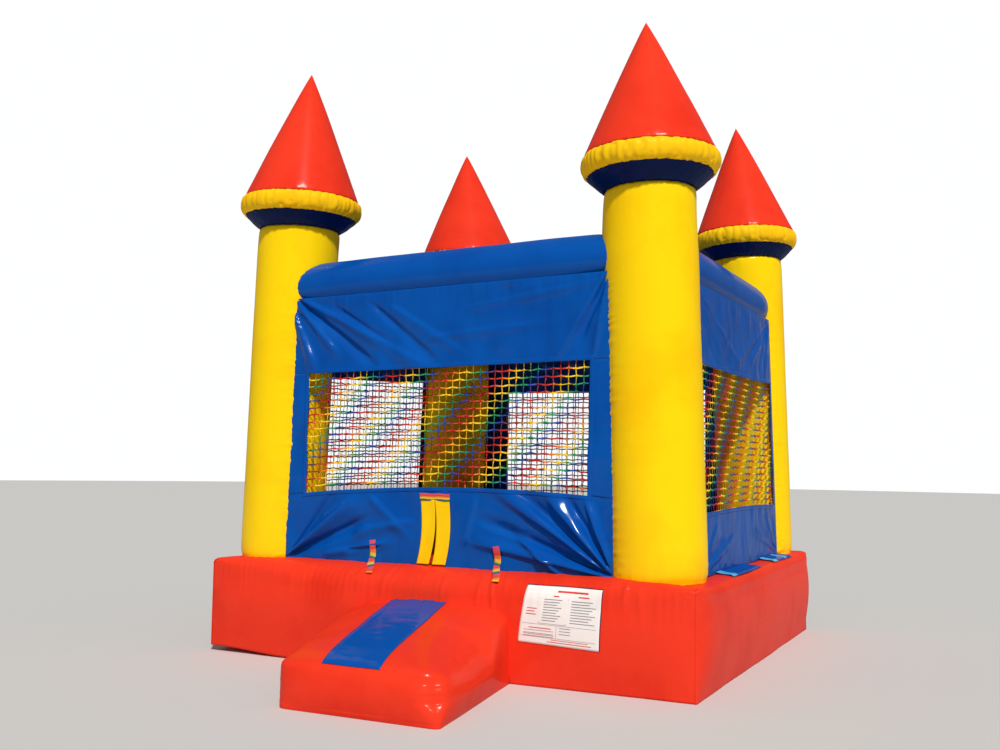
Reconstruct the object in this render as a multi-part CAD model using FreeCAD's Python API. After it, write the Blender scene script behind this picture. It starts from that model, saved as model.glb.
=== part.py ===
"""An inflatable castle bounce house, in millimetres, +Z up.

The origin is on the ground at the middle of the air-filled base. The entrance and its ramp face -Y and the
blower sleeve leaves the back of the base along +Y. Every skin is coated vinyl drawn VINYL thick, and every
air chamber is hollow: base, ramp, four leaning towers and the four beams that join them near the top.
"""

import FreeCAD, Part
import math
import os

Vector = FreeCAD.Vector

# ---------------------------------------------------------------- skins and clearances
VINYL = 2.0  # every sewn skin
WEBBING = 2.0  # woven straps
SEAM_GAP = 0.3  # between curved skins that are sewn together

# ---------------------------------------------------------------- base
BASE_WIDTH = 3960.0
BASE_DEPTH = 3640.0
BASE_HEIGHT = 730.0
BASE_BULGE = 70.0  # how far air pushes each side panel out at half height
BAFFLE_PITCH = 440.0
BAFFLE_END_GAP = 260.0  # air passes round the ends of the baffles

# ---------------------------------------------------------------- towers
TOWER_X = 1600.0  # tower axis at the top of the base
TOWER_Y = 1435.0
TOWER_LEAN = math.radians(1.72)  # each tower leans in over the bounce floor
COLUMN_RADIUS = 330.0
COLUMN_LENGTH = 2705.0
FLARE_HEIGHT = 108.0
FLARE_TOP_RADIUS = 455.0
BAND_HEIGHT = 152.0
BAND_RADIUS = 489.0
SPIRE_FOOT_RADIUS = 469.0
SPIRE_HEIGHT = 1037.0
AIR_PORT_RADIUS = 200.0  # hole in the floor under each column

# ---------------------------------------------------------------- beams and roof
BEAM_RADIUS = 200.0
BEAM_DROP = 485.0  # beam axis below the columns' tops
BEAM_OFFSET = 76.0  # beam axis outside the line of the tower axes

# ---------------------------------------------------------------- walls
WALL_OFFSET = 246.0  # outer face of a wall outside the line of the tower axes
FRONT_WINDOW = dict(half_width=1175.0, sill=1300.0, head=2225.0)
SIDE_WINDOW = dict(half_width=1145.0, sill=1170.0, head=2250.0)
BACK_WINDOW = dict(half_width=1065.0, sill=1170.0, head=2250.0)

# ---------------------------------------------------------------- entrance
DOOR_X = -40.0
DOOR_WIDTH = 244.0
DOOR_HEAD = 1240.0
FLAP_FLOOR_GAP = 3.0
FLAP_HEAD_GAP = 0.3
FLAP_MEETING_GAP = 8.0
FLAP_HINGE_GAP = 1.2  # from the hinge line, which is the doorway's edge, to the flap
HEADER_HEIGHT = 35.0
HEADER_OVERHANG = 8.0
STRAP_WIDTH = 50.0
STRAP_SPREAD = 523.0  # strap centre from the door centre
STRAP_TOP = 915.0
STRAP_REACH = 138.0  # along the top of the base

# ---------------------------------------------------------------- ramp
RAMP_LENGTH = 1380.0
RAMP_BACK_WIDTH = 1290.0
RAMP_FRONT_WIDTH = 1135.0
RAMP_BACK_X = 10.0
RAMP_FRONT_X = 302.0  # the soft ramp sits askew
RAMP_BACK_HEIGHT = 460.0
RAMP_FRONT_HEIGHT = 290.0
TREAD_WIDTH = 415.0
TREAD_SHIFT = -30.0  # tread centre from the ramp centre
TREAD_FRONT_MARGIN = 14.0
RAMP_WEB_SPREAD = 220.0
RAMP_WEB_END_GAP = 120.0

# ---------------------------------------------------------------- hold-down tabs and rules panel
TAB_REACH = 134.0
TAB_SPANS = [(-850.0, 0.0), (680.0, 1200.0)]  # along Y
RULES_X = (760.0, 1340.0)
RULES_Z = (285.0, 690.0)

# ---------------------------------------------------------------- blower sleeve
SLEEVE_X = -900.0
SLEEVE_BORE = 140.0  # radius
SLEEVE_LENGTH = 700.0  # from the widest part of the base
SLEEVE_STRAP_WIDTH = 40.0
SLEEVE_STRAP_INSET = 80.0  # from the mouth
BUCKLE = (46.0, 36.0, 5.0)  # along X, along Y, thick
BUCKLE_SLOT = (30.0, 8.0)

# ---------------------------------------------------------------- deflation zip
ZIP_X = (500.0, 1160.0)
ZIP_Z = 450.0
ZIP_TAPE_WIDTH = 40.0
ZIP_TAPE = 1.5  # thick
TEETH_WIDTH = 6.0
TEETH_RISE = 2.0
SLIDER_LENGTH = 18.0
SLIDER_WIDTH = 16.0
SLIDER_RISE = 6.5
SLIDER_CLEARANCE = 0.3
PULL_PIN_RADIUS = 1.5
PULL_EYE_CLEARANCE = 0.1
PULL_WIDTH = 7.4
PULL_LENGTH = 38.0
PULL_THICK = 3.0

# ---------------------------------------------------------------- anchor points
ANCHOR_BACK_X = (-1500.0, 1500.0)
ANCHOR_LEFT_Y = (-1350.0, 1350.0)
ANCHOR_LOOP_Z = 142.0
ANCHOR_TAB_WIDTH = 50.0
ANCHOR_TAB_HEIGHT = 120.0
ANCHOR_TAB_THICK = 3.0
RING_WIRE = 4.0  # radius of the steel wire
RING_RADIUS = 30.0
LOOP_WALL = 3.5
LOOP_CLEARANCE = 1.0
LOOP_LENGTH = 44.0

# ---------------------------------------------------------------- worked out
HALF_WIDTH = BASE_WIDTH / 2
HALF_DEPTH = BASE_DEPTH / 2
BULGE_RADIUS = ((BASE_HEIGHT / 2) ** 2 + BASE_BULGE**2) / (2 * BASE_BULGE)
REACH = {"front": HALF_DEPTH, "back": HALF_DEPTH, "left": HALF_WIDTH, "right": HALF_WIDTH}
RUN = {"front": HALF_WIDTH, "back": HALF_WIDTH, "left": HALF_DEPTH, "right": HALF_DEPTH}
TURN = {"back": 0.0, "left": 90.0, "front": 180.0, "right": -90.0}  # from +Y outward
SIDES = ("front", "right", "back", "left")
TOWERS = {
    "front_left": (-1, -1),
    "front_right": (1, -1),
    "back_left": (-1, 1),
    "back_right": (1, 1),
}
BEAM_HEIGHT = BASE_HEIGHT + COLUMN_LENGTH - BEAM_DROP
FAR = 6000.0  # longer than anything on the object

UP = Vector(0, 0, 1)
ORIGIN = Vector(0, 0, 0)


# ---------------------------------------------------------------- small helpers
def block(x, y, z):
    """A box between three pairs of limits."""
    return Part.makeBox(x[1] - x[0], y[1] - y[0], z[1] - z[0], Vector(x[0], y[0], z[0]))


def prism(points, direction):
    """A flat outline, given by its corners in order, pushed along a direction."""
    corners = [Vector(*p) for p in points]
    outline = Part.makePolygon(corners + corners[:1])
    return Part.Face(outline).extrude(Vector(*direction))


def tube(outer, inner, start, end):
    """A round tube between two points."""
    axis = end - start
    bore = Part.makeCylinder(inner, axis.Length + 2, start - axis.normalize(), axis)
    return Part.makeCylinder(outer, (end - start).Length, start, axis).cut(bore)


def turned(shape, side):
    """A shape made for the back of the base, turned to face another side."""
    copy = shape.copy()
    copy.rotate(ORIGIN, UP, TURN[side])
    return copy


def save(name, *shapes):
    """Writes one node, as one or more separate solids."""
    solids = [s for shape in shapes for s in shape.Solids]
    whole = solids[0] if len(solids) == 1 else Part.makeCompound(solids)
    whole.exportStep(os.path.join("parts", name + ".step"))


# ---------------------------------------------------------------- base
def bulge_axis(reach):
    """Middle of the circle that a side panel's section follows, for the side facing +Y."""
    return Vector(0, reach - (BULGE_RADIUS - BASE_BULGE), BASE_HEIGHT / 2)


def bulge_core(reach, offset):
    """Everything inside the bulged surface of one side, grown by an offset."""
    start = bulge_axis(reach) - Vector(FAR / 2, 0, 0)
    return Part.makeCylinder(BULGE_RADIUS + offset, FAR, start, Vector(1, 0, 0))


def bulge_sheet(reach, inner, outer, x, z):
    """A sheet that follows the bulge between two offsets from it, for the side facing +Y."""
    sheet = bulge_core(reach, outer).cut(bulge_core(reach, inner))
    return sheet.common(block(x, (bulge_axis(reach).y, FAR), z))


def bulge_y(reach, offset, z):
    """How far out the bulge is at a height."""
    radius = BULGE_RADIUS + offset
    axis = bulge_axis(reach)
    return axis.y + math.sqrt(radius**2 - (z - axis.z) ** 2)


def base_panel(side):
    """One bulged side of the base, mitred where it is sewn to its neighbours."""
    reach, run = REACH[side], RUN[side]
    sheet = bulge_sheet(reach, -VINYL, 0, (-FAR / 2, FAR / 2), (VINYL, BASE_HEIGHT - VINYL))
    out = 2 * BASE_BULGE
    back = 4 * BASE_BULGE
    mitre = prism(
        [
            (-run - out, reach + out, 0),
            (run + out, reach + out, 0),
            (run - back, reach - back, 0),
            (-run + back, reach - back, 0),
        ],
        (0, 0, BASE_HEIGHT),
    )
    return sheet.common(mitre)


def port_into_ramp():
    """Air passage from the base into the ramp."""
    start = Vector(RAMP_BACK_X, -HALF_DEPTH - 2 * BASE_BULGE, RAMP_BACK_HEIGHT / 2)
    return Part.makeCylinder(AIR_PORT_RADIUS / 2, 4 * BASE_BULGE, start, Vector(0, 1, 0))


def make_base():
    sheet = ((-HALF_WIDTH, HALF_WIDTH), (-HALF_DEPTH, HALF_DEPTH))
    save("ground_sheet", block(*sheet, (0, VINYL)))

    floor = block(*sheet, (BASE_HEIGHT - VINYL, BASE_HEIGHT))
    for sx, sy in TOWERS.values():
        start = Vector(sx * TOWER_X, sy * TOWER_Y, BASE_HEIGHT - 2 * VINYL)
        floor = floor.cut(Part.makeCylinder(AIR_PORT_RADIUS, 4 * VINYL, start))
    save("bounce_floor", floor)

    for side in SIDES:
        panel = turned(base_panel(side), side)
        if side == "front":
            panel = panel.cut(port_into_ramp())
        if side == "back":
            panel = panel.cut(sleeve_bore())
        save("base_panel_" + side, panel)


def make_baffles():
    """Webs that tie the bounce floor to the ground sheet, and the ramp's top to its bottom."""
    count = int((BASE_WIDTH - BAFFLE_END_GAP) // BAFFLE_PITCH)
    webs = []
    for i in range(count):
        x = (i - (count - 1) / 2) * BAFFLE_PITCH
        y = HALF_DEPTH - BAFFLE_END_GAP
        webs.append(block((x, x + VINYL), (-y, y), (VINYL, BASE_HEIGHT - VINYL)))
    for way in (-1, 1):
        x = (RAMP_BACK_X + RAMP_FRONT_X) / 2 + way * RAMP_WEB_SPREAD
        far = -HALF_DEPTH - RAMP_LENGTH + RAMP_WEB_END_GAP
        near = -HALF_DEPTH - BASE_BULGE - RAMP_WEB_END_GAP
        web = block((x, x + VINYL), (far, near), (VINYL, RAMP_BACK_HEIGHT))
        webs.append(web.cut(above_ramp(VINYL)))
    save("internal_baffles", *webs)


# ---------------------------------------------------------------- ramp
def ramp_outline(inset):
    """Corners of the ramp in plan, from the back left. It is open where it is sewn to the base."""
    back = -HALF_DEPTH
    front = -HALF_DEPTH - RAMP_LENGTH + inset
    half_back = RAMP_BACK_WIDTH / 2 - inset
    half_front = RAMP_FRONT_WIDTH / 2 - inset
    return [
        (RAMP_BACK_X - half_back, back, 0),
        (RAMP_BACK_X + half_back, back, 0),
        (RAMP_FRONT_X + half_front, front, 0),
        (RAMP_FRONT_X - half_front, front, 0),
    ]


def ramp_top(y):
    """Height of the ramp's top at a distance in front of the base."""
    share = (-HALF_DEPTH - y) / RAMP_LENGTH
    return RAMP_BACK_HEIGHT + share * (RAMP_FRONT_HEIGHT - RAMP_BACK_HEIGHT)


def above_ramp(depth):
    """Everything above a plane that lies that far under the ramp's top."""
    y = (-FAR, 0.0)
    z = [ramp_top(v) - depth for v in y]
    outline = [(-FAR / 2, y[0], z[0]), (-FAR / 2, y[1], z[1]), (-FAR / 2, y[1], FAR), (-FAR / 2, y[0], FAR)]
    return prism(outline, (FAR, 0, 0))


def make_ramp():
    height = (0, 0, 2 * RAMP_BACK_HEIGHT)
    inside = prism(ramp_outline(VINYL), height).cut(above_ramp(VINYL))
    inside = inside.common(block((-FAR, FAR), (-FAR, FAR), (VINYL, FAR)))
    shell = prism(ramp_outline(0), height).cut(above_ramp(0)).cut(inside)
    base = turned(bulge_core(HALF_DEPTH, SEAM_GAP), "front")
    save("ramp_shell", shell.cut(base))

    slant = (RAMP_FRONT_X - RAMP_BACK_X) / RAMP_LENGTH
    back = -HALF_DEPTH
    front = -HALF_DEPTH - RAMP_LENGTH + TREAD_FRONT_MARGIN
    corners = []
    for y, ways in ((back, (-1, 1)), (front, (1, -1))):
        middle = RAMP_BACK_X + TREAD_SHIFT + slant * (back - y)
        corners += [(middle + way * TREAD_WIDTH / 2, y, 0) for way in ways]
    tread = prism(corners, height).common(above_ramp(0)).cut(above_ramp(-VINYL))
    save("ramp_tread", tread.cut(base))


# ---------------------------------------------------------------- towers
def placed(shape, sx, sy):
    """A shape made on a tower's own axis, from the top of the base up, put in its corner."""
    copy = shape.copy()
    copy.rotate(ORIGIN, Vector(0, 1, 0), -sx * math.degrees(TOWER_LEAN))
    copy.translate(Vector(sx * TOWER_X, sy * TOWER_Y, BASE_HEIGHT))
    return copy


def below_floor():
    """Everything under the top of the base."""
    return block((-FAR, FAR), (-FAR, FAR), (-FAR, BASE_HEIGHT))


def tower_core(sx, sy, grown=SEAM_GAP):
    """The space that a column takes, with its sewing gap."""
    foot = Vector(0, 0, -BASE_HEIGHT)
    core = Part.makeCylinder(COLUMN_RADIUS + grown, BASE_HEIGHT + COLUMN_LENGTH, foot)
    return placed(core, sx, sy)


def lean_x(height):
    """Distance of a tower's axis from the middle of the house at a height above ground."""
    return TOWER_X - (height - BASE_HEIGHT) * math.tan(TOWER_LEAN)


def ring_section(low, middle, high):
    """A round skin whose outer edge is an arc through three (radius, height) points."""

    def arc(shift):
        points = [Vector(r - shift, 0, z) for r, z in (low, middle, high)]
        return points, Part.Arc(*points).toShape()

    outer, outer_arc = arc(0)
    inner, inner_arc = arc(VINYL)
    edges = [
        outer_arc,
        Part.makeLine(outer[2], inner[2]),
        inner_arc,
        Part.makeLine(inner[0], outer[0]),
    ]
    wire = Part.Wire(Part.__sortEdges__(edges))
    return Part.Face(wire).revolve(ORIGIN, UP, 360)


def cone_skin(low, high, height, foot):
    """A thin cone frustum standing on a local height."""
    place = Vector(0, 0, foot)
    outer = Part.makeCone(low, high, height, place)
    return outer.cut(Part.makeCone(low - VINYL, high - VINYL, height, place))


def make_towers():
    band_foot = COLUMN_LENGTH + FLARE_HEIGHT
    spire_foot = band_foot + BAND_HEIGHT
    flare = cone_skin(COLUMN_RADIUS, FLARE_TOP_RADIUS, FLARE_HEIGHT, COLUMN_LENGTH)
    band = ring_section(
        (FLARE_TOP_RADIUS, band_foot),
        (BAND_RADIUS, band_foot + BAND_HEIGHT / 2),
        (SPIRE_FOOT_RADIUS, spire_foot),
    )
    inner_height = SPIRE_HEIGHT * (SPIRE_FOOT_RADIUS - VINYL) / SPIRE_FOOT_RADIUS
    place = Vector(0, 0, spire_foot)
    spire = Part.makeCone(SPIRE_FOOT_RADIUS, 0, SPIRE_HEIGHT, place)
    spire = spire.cut(Part.makeCone(SPIRE_FOOT_RADIUS - VINYL, 0, inner_height, place))
    foot = Vector(0, 0, -COLUMN_RADIUS)
    column = tube(COLUMN_RADIUS, COLUMN_RADIUS - VINYL, foot, Vector(0, 0, COLUMN_LENGTH))
    ports = [beam_core(side, -VINYL) for side in SIDES]
    for name, (sx, sy) in TOWERS.items():
        skin = placed(column, sx, sy).cut(below_floor())
        for port in ports:
            skin = skin.cut(port)
        save("column_" + name, skin)
        save("flare_" + name, placed(flare, sx, sy))
        save("band_" + name, placed(band, sx, sy))
        save("spire_" + name, placed(spire, sx, sy))


# ---------------------------------------------------------------- beams and roof
def beam_core(side, grown):
    """The space that a beam takes, from tower axis to tower axis."""
    corner_x = lean_x(BEAM_HEIGHT)
    out = {"front": (0, -1), "back": (0, 1), "left": (-1, 0), "right": (1, 0)}[side]
    middle = Vector(
        out[0] * (corner_x + BEAM_OFFSET), out[1] * (TOWER_Y + BEAM_OFFSET), BEAM_HEIGHT
    )
    half = Vector(corner_x, 0, 0) if out[0] == 0 else Vector(0, TOWER_Y, 0)
    return Part.makeCylinder(BEAM_RADIUS + grown, 2 * half.Length, middle - half, half)


def trimmed(shape, grown=SEAM_GAP):
    """A shape cut back to where the towers start."""
    for sx, sy in TOWERS.values():
        shape = shape.cut(tower_core(sx, sy, grown))
    return shape


def make_beams():
    for side in SIDES:
        save("beam_" + side, trimmed(beam_core(side, 0).cut(beam_core(side, -VINYL))))


def make_roof():
    """A flat shade, sewn to the beams at the height of their axes."""
    inward = BEAM_OFFSET - BEAM_RADIUS - SEAM_GAP
    half_x = lean_x(BEAM_HEIGHT) + inward
    half_y = TOWER_Y + inward
    z = (BEAM_HEIGHT - VINYL / 2, BEAM_HEIGHT + VINYL / 2)
    save("roof_panel", trimmed(block((-half_x, half_x), (-half_y, half_y), z)))


# ---------------------------------------------------------------- walls
def wall_sheet(side, along, z):
    """A flat piece of wall between two places along it and two heights, cut back to towers and beam."""
    if side in ("front", "back"):
        face = TOWER_Y + WALL_OFFSET
        y = (face - VINYL, face) if side == "back" else (-face, VINYL - face)
        sheet = block(along, y, z)
    else:
        way = 1 if side == "right" else -1
        x = sorted((way * (WALL_OFFSET - VINYL), way * WALL_OFFSET))
        local = [(height - BASE_HEIGHT) / math.cos(TOWER_LEAN) for height in z]
        foot = local[0] - WALL_OFFSET if z[0] <= BASE_HEIGHT else local[0]
        sheet = placed(block(x, along, (foot, local[1])), way, 0).cut(below_floor())
    return trimmed(sheet.cut(beam_core(side, SEAM_GAP)))


def doorway():
    """The slit in the lower front panel that the two flaps close."""
    half = DOOR_WIDTH / 2
    face = TOWER_Y + WALL_OFFSET
    return block((DOOR_X - half, DOOR_X + half), (-face - VINYL, 2 * VINYL - face), (0, DOOR_HEAD))


def make_walls():
    strips = []
    for side in SIDES:
        window = {"front": FRONT_WINDOW, "back": BACK_WINDOW}.get(side, SIDE_WINDOW)
        half, sill, head = window["half_width"], window["sill"], window["head"]
        full = lean_x(BASE_HEIGHT) if side in ("front", "back") else TOWER_Y
        lower = wall_sheet(side, (-full, full), (BASE_HEIGHT, sill))
        if side == "front":
            lower = lower.cut(doorway())
        save("lower_panel_" + side, lower)
        save("upper_panel_" + side, wall_sheet(side, (-full, full), (head, BEAM_HEIGHT)))
        save("window_net_" + side, wall_sheet(side, (-half, half), (sill, head)))
        strips.append(wall_sheet(side, (-full, -half), (sill, head)))
        strips.append(wall_sheet(side, (half, full), (sill, head)))
    save("side_strips", *strips)


# ---------------------------------------------------------------- entrance
def make_entrance():
    face = TOWER_Y + WALL_OFFSET
    y = (-face, VINYL - face)
    z = (BASE_HEIGHT + FLAP_FLOOR_GAP, DOOR_HEAD - FLAP_HEAD_GAP)
    outer = DOOR_WIDTH / 2 - FLAP_HINGE_GAP
    inner = FLAP_MEETING_GAP / 2
    save("door_flap_left", block((DOOR_X - outer, DOOR_X - inner), y, z))
    save("door_flap_right", block((DOOR_X + inner, DOOR_X + outer), y, z))

    half = DOOR_WIDTH / 2 + HEADER_OVERHANG
    webbing = [
        block(
            (DOOR_X - half, DOOR_X + half),
            (-face - WEBBING, -face),
            (DOOR_HEAD, DOOR_HEAD + HEADER_HEIGHT),
        )
    ]
    for way in (-1, 1):
        x = DOOR_X + way * STRAP_SPREAD - STRAP_WIDTH / 2
        section = [
            (x, -face, STRAP_TOP),
            (x, -face - WEBBING, STRAP_TOP),
            (x, -face - WEBBING, BASE_HEIGHT + WEBBING),
            (x, -face - STRAP_REACH, BASE_HEIGHT + WEBBING),
            (x, -face - STRAP_REACH, BASE_HEIGHT),
            (x, -face, BASE_HEIGHT),
        ]
        webbing.append(prism(section, (STRAP_WIDTH, 0, 0)))
    save("entrance_webbing", *webbing)


def make_tabs_and_rules():
    wall = TOWER_X + WALL_OFFSET + SEAM_GAP
    tabs = []
    for way in (-1, 1):
        x = sorted((way * wall, way * (wall + TAB_REACH)))
        for span in TAB_SPANS:
            tabs.append(trimmed(block(x, span, (BASE_HEIGHT, BASE_HEIGHT + VINYL))))
    save("hold_down_tabs", *tabs)

    x = (-RULES_X[1], -RULES_X[0])
    panel = bulge_sheet(HALF_DEPTH, SEAM_GAP, SEAM_GAP + VINYL, x, RULES_Z)
    save("rules_panel", turned(panel, "front"))


# ---------------------------------------------------------------- blower sleeve
def sleeve_axis(y):
    """A point on the sleeve's axis. Its strap, outside the sleeve, just rests on the ground."""
    return Vector(SLEEVE_X, y, SLEEVE_BORE + VINYL + SEAM_GAP + WEBBING)


def sleeve_mouth():
    return HALF_DEPTH + BASE_BULGE + SLEEVE_LENGTH


def sleeve_bore():
    start = sleeve_axis(HALF_DEPTH - 2 * BASE_BULGE)
    return Part.makeCylinder(SLEEVE_BORE, 4 * BASE_BULGE, start, Vector(0, 1, 0))


def make_sleeve():
    outer = SLEEVE_BORE + VINYL
    sleeve = tube(outer, SLEEVE_BORE, sleeve_axis(HALF_DEPTH), sleeve_axis(sleeve_mouth()))
    save("inflation_sleeve", sleeve.cut(bulge_core(HALF_DEPTH, SEAM_GAP)))

    end = sleeve_mouth() - SLEEVE_STRAP_INSET
    start = end - SLEEVE_STRAP_WIDTH
    inner = outer + SEAM_GAP
    strap = tube(inner + WEBBING, inner, sleeve_axis(start), sleeve_axis(end))
    length, width, thick = BUCKLE
    top = sleeve_axis(0).z + inner + WEBBING
    middle = (start + end) / 2
    buckle = block(
        (SLEEVE_X - length / 2, SLEEVE_X + length / 2),
        (middle - width / 2, middle + width / 2),
        (top, top + thick),
    )
    for way in (-1, 1):
        x = SLEEVE_X + way * length / 5
        slot = block(
            (x - BUCKLE_SLOT[1] / 2, x + BUCKLE_SLOT[1] / 2),
            (middle - BUCKLE_SLOT[0] / 2, middle + BUCKLE_SLOT[0] / 2),
            (top - thick, top + 2 * thick),
        )
        buckle = buckle.cut(slot)
    save("sleeve_strap", strap, buckle)


# ---------------------------------------------------------------- deflation zip, on the back of the base
def make_zip():
    def sheet(inner, outer, x, z):
        return bulge_sheet(HALF_DEPTH, inner, outer, x, z)

    def about(middle, width):
        return (middle - width / 2, middle + width / 2)

    tape_face = SEAM_GAP + ZIP_TAPE
    teeth_face = tape_face + TEETH_RISE
    tape = sheet(SEAM_GAP, tape_face, ZIP_X, about(ZIP_Z, ZIP_TAPE_WIDTH))
    teeth = sheet(SEAM_GAP, teeth_face, ZIP_X, about(ZIP_Z, TEETH_WIDTH))
    save("zip_tape", tape.fuse(teeth).removeSplitter())

    start = ZIP_X[0] + SLIDER_LENGTH
    slider_x = (start, start + SLIDER_LENGTH)
    slider_face = tape_face + SLIDER_RISE
    slider = sheet(tape_face + SLIDER_CLEARANCE, slider_face, slider_x, about(ZIP_Z, SLIDER_WIDTH))
    groove = about(ZIP_Z, TEETH_WIDTH + 2 * SLIDER_CLEARANCE)
    slider = slider.cut(sheet(0, teeth_face + SLIDER_CLEARANCE, ZIP_X, groove))
    eye_radius = PULL_PIN_RADIUS + PULL_EYE_CLEARANCE + PULL_THICK / 2
    pin_y = bulge_y(HALF_DEPTH, slider_face, ZIP_Z) + eye_radius + SLIDER_CLEARANCE
    middle_x = sum(slider_x) / 2
    post = (SLIDER_LENGTH - PULL_WIDTH) / 2 - SLIDER_CLEARANCE
    pin = Vector(slider_x[0], pin_y, ZIP_Z)
    slider = slider.fuse(Part.makeCylinder(PULL_PIN_RADIUS, SLIDER_LENGTH, pin, Vector(1, 0, 0)))
    for x in ((slider_x[0], slider_x[0] + post), (slider_x[1] - post, slider_x[1])):
        root = bulge_y(HALF_DEPTH, slider_face, ZIP_Z) - ZIP_TAPE
        ear = block(x, (root, pin_y + PULL_PIN_RADIUS), about(ZIP_Z, 2 * PULL_PIN_RADIUS))
        slider = slider.fuse(ear)
    save("zip_slider", slider.removeSplitter())

    pull_x = about(middle_x, PULL_WIDTH)
    half = PULL_THICK / 2
    plate = block(pull_x, (pin_y - half, pin_y + half), (ZIP_Z - PULL_LENGTH, ZIP_Z))
    eye = Part.makeCylinder(eye_radius, PULL_WIDTH, Vector(pull_x[0], pin_y, ZIP_Z), Vector(1, 0, 0))
    hole = Part.makeCylinder(
        PULL_PIN_RADIUS + PULL_EYE_CLEARANCE, 3 * PULL_WIDTH, pin, Vector(1, 0, 0)
    )
    save("zip_pull", plate.fuse(eye).cut(hole).removeSplitter())


# ---------------------------------------------------------------- anchor points, made for the side facing +Y
def ring_axis_y(reach):
    """How far out the bar of an anchor ring lies."""
    loop = RING_WIRE + LOOP_CLEARANCE + LOOP_WALL
    return bulge_y(reach, 2 * SEAM_GAP, ANCHOR_LOOP_Z) + loop


def anchor_tab(reach, x):
    """Webbing sewn to the base, with a loop at its lower end for the ring's bar."""
    half = ANCHOR_TAB_WIDTH / 2
    outer = SEAM_GAP + ANCHOR_TAB_THICK
    z = (ANCHOR_LOOP_Z, ANCHOR_LOOP_Z + ANCHOR_TAB_HEIGHT)
    tab = bulge_sheet(reach, SEAM_GAP, outer, (x - half, x + half), z)
    bore = RING_WIRE + LOOP_CLEARANCE
    y = ring_axis_y(reach)
    ends = [Vector(x + way * LOOP_LENGTH / 2, y, ANCHOR_LOOP_Z) for way in (-1, 1)]
    inside = Part.makeCylinder(bore, FAR, ends[0] - Vector(FAR / 2, 0, 0), Vector(1, 0, 0))
    loop = tube(bore + LOOP_WALL, bore, *ends)
    return tab.cut(inside).fuse(loop).removeSplitter()


def anchor_ring(reach, x):
    """A steel D ring: a straight bar and a half round, hanging down."""
    middle = Vector(x, ring_axis_y(reach), ANCHOR_LOOP_Z)
    half = Vector(RING_RADIUS, 0, 0)
    bar = Part.makeCylinder(RING_WIRE, 2 * RING_RADIUS, middle - half, half)
    bow = Part.makeTorus(RING_RADIUS, RING_WIRE, middle, Vector(0, 1, 0), -180, 180, 360)
    lower = block((x - FAR, x + FAR), (0, FAR), (-FAR, ANCHOR_LOOP_Z))
    ends = [Part.makeSphere(RING_WIRE, middle + half * way) for way in (-1, 1)]
    return bow.common(lower).fuse([bar] + ends).removeSplitter()


def make_anchors():
    places = {
        "back_left": ("back", ANCHOR_BACK_X[0]),
        "back_right": ("back", ANCHOR_BACK_X[1]),
        "left_front": ("left", ANCHOR_LEFT_Y[0]),
        "left_back": ("left", ANCHOR_LEFT_Y[1]),
    }
    tabs = []
    for name, (side, along) in places.items():
        tabs.append(turned(anchor_tab(REACH[side], along), side))
        save("anchor_ring_" + name, turned(anchor_ring(REACH[side], along), side))
    save("anchor_tabs", *tabs)


os.makedirs("parts", exist_ok=True)
make_base()
make_baffles()
make_ramp()
make_towers()
make_beams()
make_roof()
make_walls()
make_entrance()
make_tabs_and_rules()
make_sleeve()
make_zip()
make_anchors()
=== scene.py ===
"""An inflatable castle bounce house: vinyl chambers full of air, loose vinyl walls, knotted nets and webbing.

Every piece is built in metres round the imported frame. Skins are grids of faces that a function lays out
(bmesh makes the grid), then puckered along their seams and given the thickness of coated vinyl.
"""

import math

import bmesh
import bpy
from mathutils import Matrix, Vector, noise
from mathutils.bvhtree import BVHTree


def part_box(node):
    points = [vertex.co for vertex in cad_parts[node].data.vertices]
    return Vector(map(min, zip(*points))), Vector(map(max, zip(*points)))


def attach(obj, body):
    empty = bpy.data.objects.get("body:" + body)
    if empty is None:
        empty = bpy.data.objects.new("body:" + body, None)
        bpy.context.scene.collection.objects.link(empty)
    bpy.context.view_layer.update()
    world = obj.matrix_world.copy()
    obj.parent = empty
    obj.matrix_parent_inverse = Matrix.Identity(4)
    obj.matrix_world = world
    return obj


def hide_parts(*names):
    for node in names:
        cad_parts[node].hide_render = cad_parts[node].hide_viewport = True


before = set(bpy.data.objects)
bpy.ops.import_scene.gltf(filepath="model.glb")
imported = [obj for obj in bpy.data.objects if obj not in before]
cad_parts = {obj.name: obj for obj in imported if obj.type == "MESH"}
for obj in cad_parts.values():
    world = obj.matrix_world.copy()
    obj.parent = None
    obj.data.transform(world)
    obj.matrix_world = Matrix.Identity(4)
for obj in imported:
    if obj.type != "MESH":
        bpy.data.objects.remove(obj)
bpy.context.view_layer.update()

SCENE = bpy.context.scene
SIDES = ("front", "right", "back", "left")
ACROSS = ("front", "back")  # the sides that run along x
CORNERS = {"front_left": (-1, -1), "front_right": (1, -1), "back_left": (-1, 1), "back_right": (1, 1)}

# ---------------------------------------------------------------- sizes, from the frame
SKIN = 0.002  # coated vinyl, as thick as the frame's skins
FLOOR_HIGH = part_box("bounce_floor")[1]
HALF_WIDTH, HALF_DEPTH, TOP = FLOOR_HIGH
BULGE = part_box("base_panel_right")[1].x - HALF_WIDTH

COLUMN_LOW, COLUMN_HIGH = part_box("column_front_right")
RADIUS = (COLUMN_HIGH.y - COLUMN_LOW.y) / 2
TOWER_X = COLUMN_HIGH.x - RADIUS
TOWER_Y = -(COLUMN_HIGH.y + COLUMN_LOW.y) / 2
LEAN = math.atan((TOWER_X - COLUMN_LOW.x - RADIUS) / (COLUMN_HIGH.z - TOP))
TIP = (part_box("spire_front_right")[1].z - TOP) / math.cos(LEAN)
FLARE, BAND, SPIRE = 0.108, 0.152, 1.037  # heights
COLUMN = TIP - (FLARE + BAND + SPIRE)  # length of a column, up to its flare
FLARE_RADIUS, BAND_RADIUS, SPIRE_RADIUS = 0.455, 0.489, 0.469

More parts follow.
